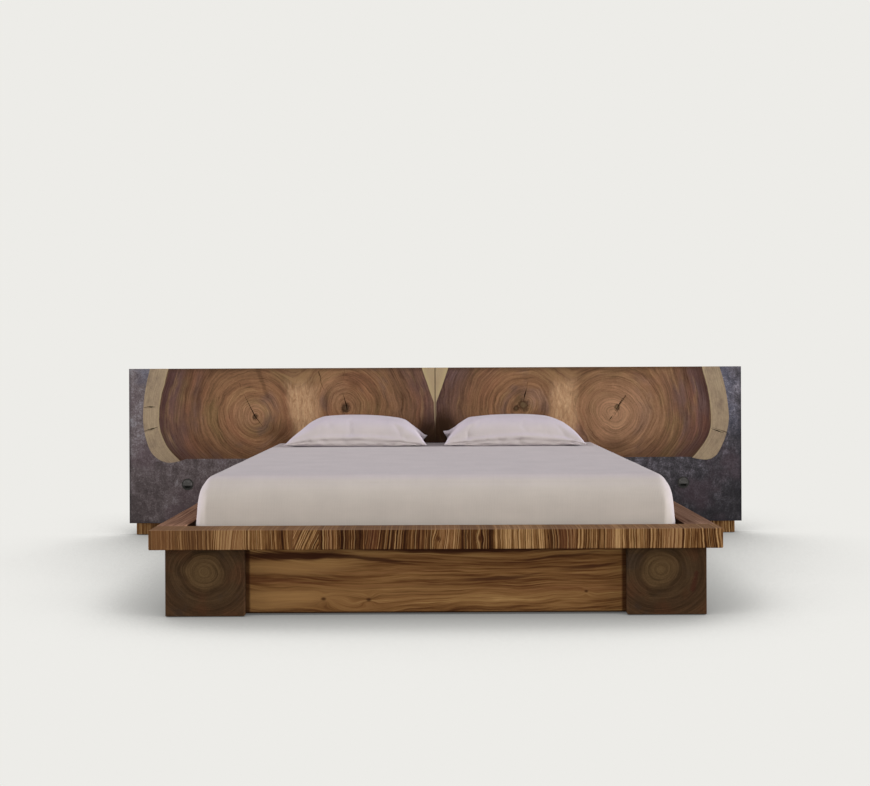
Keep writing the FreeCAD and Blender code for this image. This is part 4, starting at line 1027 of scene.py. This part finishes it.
def sew(mesh, low, high):
    """Draws a pillow's two layers together in a sewn edge that stands out, with a groove under its back."""
    centre = (low + high) / 2
    columns, rows = CASE_GRID
    upper_count = (columns + 1) * (rows + 1)
    for i, j in product(range(columns + 1), range(rows + 1)):
        if i in (0, columns) or j in (0, rows):
            place = mesh.vertices[i * (rows + 1) + j].co
            place += Vector((place.x - centre.x, place.y - centre.y, 0)).normalized() * SEAM_RIDGE
    for i in range(columns - 1):
        mesh.vertices[upper_count + i * (rows - 1)].co.y += SEAM_RIDGE


def make_pillows(material):
    """Two pillows in plain cases, with soft wide crowns and pointed ends."""
    pieces = []
    for word, seed in (("left", 1.7), ("right", 5.2)):
        name = f"pillow_case_{word}"
        low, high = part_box(f"pillow_{word}")
        pieces.append((new_object(name, case_mesh(name, low, high, seed)), word, low, high))
    inflate([piece for piece, *_ in pieces], pieces[0][2].z)
    for piece, word, low, high in pieces:
        mesh = piece.data
        fit(mesh, low, high)
        settle(mesh, low, high, -SLABS[word]["side"], SEAM_EAR_SHARES[word], OUTER_THINS[word])
        sew(mesh, low, high)
        bpy.data.objects.remove(piece)
        pillow = soft_object(f"pillow_case_{word}", mesh, f"pillow_{word}", material)


# The brush in each grommet, behind its cap: two layers of bristles, which droop unevenly and leave a small
# hole in the middle
BRISTLES = 72
BRISTLE_DEPTH = 0.016
BRISTLE_REACH = 0.0268
BRISTLE_WIDTH = 0.0021
BRISTLE_THICK = 0.0006
BRISTLE_DROOP = 0.0012
BRUSH_HOLE = 0.0015
LAYER_PITCH = 0.0015


def make_brushes():
    """Black bristles inside each grommet, which close its cord slot from behind."""
    g = Graph("black_bristle")
    strand = g.noise(g.place, 700)
    g.bump(strand, 0.3, 0.0003)
    material = g.finish(g.ramp(strand, (0.3, 0.7), ((12, 11, 11), (26, 24, 24))), 0.7, 0.2)
    thick = Vector((0, BRISTLE_THICK, 0))
    for word in SLABS:
        low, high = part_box(f"grommet_liner_{word}")
        centre = Vector(((low.x + high.x) / 2, low.y + BRISTLE_DEPTH, (low.z + high.z) / 2))
        bm = bmesh.new()
        for layer, step in product(range(2), range(BRISTLES)):
            turn = 2 * math.pi * (step + layer / 2) / BRISTLES
            outward = Vector((math.cos(turn), 0, math.sin(turn)))
            across = Vector((-outward.z, 0, outward.x)) * BRISTLE_WIDTH / 2
            root = centre + Vector((0, layer * LAYER_PITCH, 0)) + outward * BRISTLE_REACH
            droop = Vector((0, BRISTLE_DROOP * math.sin(step * 2.4), 0))
            tip = root + droop - outward * (BRISTLE_REACH - BRUSH_HOLE)
            corners = [root - across, root + across, tip + across * 0.3, tip - across * 0.3]
            front = [bm.verts.new(corner) for corner in corners]
            back = [bm.verts.new(corner + thick) for corner in corners]
            bm.faces.new(front)
            bm.faces.new(back[::-1])
            for a in range(4):
                b = (a + 1) % 4
                bm.faces.new([front[b], front[a], back[a], back[b]])
        bmesh.ops.recalc_face_normals(bm, faces=bm.faces)
        brush = new_object(f"grommet_brush_{word}", new_mesh(f"grommet_brush_{word}", bm))
        brush.data.materials.append(material)
        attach(brush, "bed")


def make_camera():
    """The camera looks straight ahead from the photograph's place, with its frame and its small roll."""
    data = bpy.data.cameras.new("camera")
    data.sensor_width = SENSOR_MM
    data.lens = FOCAL_PX / PHOTO_WIDTH_PX * SENSOR_MM
    data.shift_y = (HORIZON_PX - PHOTO_HEIGHT_PX / 2) / PHOTO_WIDTH_PX
    camera = new_object("camera", data)
    camera.location = CAMERA_PLACE
    camera.rotation_euler = (math.radians(90), CAMERA_ROLL, 0)
    scene.camera = camera


def camera_like_rays(tree):
    """1 for the rays that show the backdrop, straight or in a mirror or glass, and 0 for lighting rays."""
    path = tree.nodes.new("ShaderNodeLightPath")
    total = path.outputs["Is Camera Ray"]
    for name in ("Is Glossy Ray", "Is Transmission Ray"):
        node = tree.nodes.new("ShaderNodeMath")
        node.operation = "MAXIMUM"
        tree.links.new(total, node.inputs[0])
        tree.links.new(path.outputs[name], node.inputs[1])
        total = node.outputs[0]
    return total


FLOOR_REACH = 30
# How far the bed's soft shadow reaches, how the light that it cuts off leans to each side, and how light the
# floor is for shares of that light
SHADOW_REACH = 1.6
SHADOW_LEAN = (0.47, -0.171, 0.866)
SHADOW_ENDS = ((0, 0.06), (1, 1))
SHADOW_SHARES = (0.35, 0.564, 0.672, 0.766, 0.82, 0.845, 0.87, 0.9, 0.93)
SHADOW_LEVELS = (0.22, 0.4, 0.49, 0.575, 0.71, 0.8, 0.895, 0.96, 1)


def make_floor():
    """A pale floor of the backdrop's colour, which darkens softly where the bed shuts out the light."""
    floor = level_square("floor", FLOOR_REACH, 0)
    g = Graph("floor")
    across, forward, up = SHADOW_LEAN
    shares = []
    for side in (-1, 1):
        inputs = {"Distance": SHADOW_REACH, "Normal": g.vector(across * side, forward, up)}
        shares.append(g.add("AmbientOcclusion", inputs, samples=10).outputs["AO"])
    shade = g.add("FloatCurve", {"Value": g.times(g.plus(*shares), 0.5)})
    points = shade.mapping.curves[0].points
    for point, place in zip(points, SHADOW_ENDS):
        point.location = place
    for place in zip(SHADOW_SHARES, SHADOW_LEVELS):
        points.new(*place)
    shade.mapping.update()
    glow = g.add("Emission", {"Color": rgb(*BACKDROP), "Strength": shade.outputs[0]})
    seen = camera_like_rays(g.tree)
    blend = g.add("MixShader", {0: seen, 1: g.shader.outputs["BSDF"], 2: glow.outputs["Emission"]})
    g.feed(g.output.inputs["Surface"], blend.outputs[0])
    floor.data.materials.append(g.finish(rgb(*BACKDROP), 0.9, 0))


WORLD_LIGHT = 0.36
WORLD_COLOUR = (1, 0.97, 1.06)
# Each lamp: its turn about Z from straight in front, its height over the floor, strength, softness and colour
LAMPS = (
    ("lamp_left", -80, 10, 3.6, 30, (1, 0.98, 1)),
    ("lamp_right", 80, 10, 4.6, 30, (0.99, 0.98, 1)),
    ("lamp_front", 0, 5, 0.82, 50, (0.97, 1, 0.78)),
)


def make_light():
    """A plain even sky and a few wide soft lamps from the sides and the front."""
    world = bpy.data.worlds.new("sky")
    scene.world = world
    world.use_nodes = True
    tree = world.node_tree
    sky = tree.nodes["Background"]
    sky.inputs["Color"].default_value = (*WORLD_COLOUR, 1)
    sky.inputs["Strength"].default_value = WORLD_LIGHT
    seen = tree.nodes.new("ShaderNodeBackground")
    seen.inputs["Color"].default_value = rgb(*BACKDROP)
    blend = tree.nodes.new("ShaderNodeMixShader")
    for socket, source in zip(blend.inputs, (camera_like_rays(tree), sky.outputs[0], seen.outputs[0])):
        tree.links.new(source, socket)
    tree.links.new(blend.outputs[0], tree.nodes["World Output"].inputs["Surface"])
    for name, turn, height, strength, softness, colour in LAMPS:
        data = bpy.data.lights.new(name, "SUN")
        data.color = colour
        data.energy = strength
        data.angle = math.radians(softness)
        new_object(name, data).rotation_euler = (math.radians(90 - height), 0, math.radians(turn))


make_camera()
make_floor()
make_light()
scene.view_settings.view_transform = "Standard"
dress_cad()
make_mattress()
make_sheet(linen("sheet_linen", (168, 160, 161), (182, 174, 174), DECK_LOW + 0.08))
make_pillows(linen("pillow_linen", (174, 165, 173), (190, 181, 187)))
make_brushes()
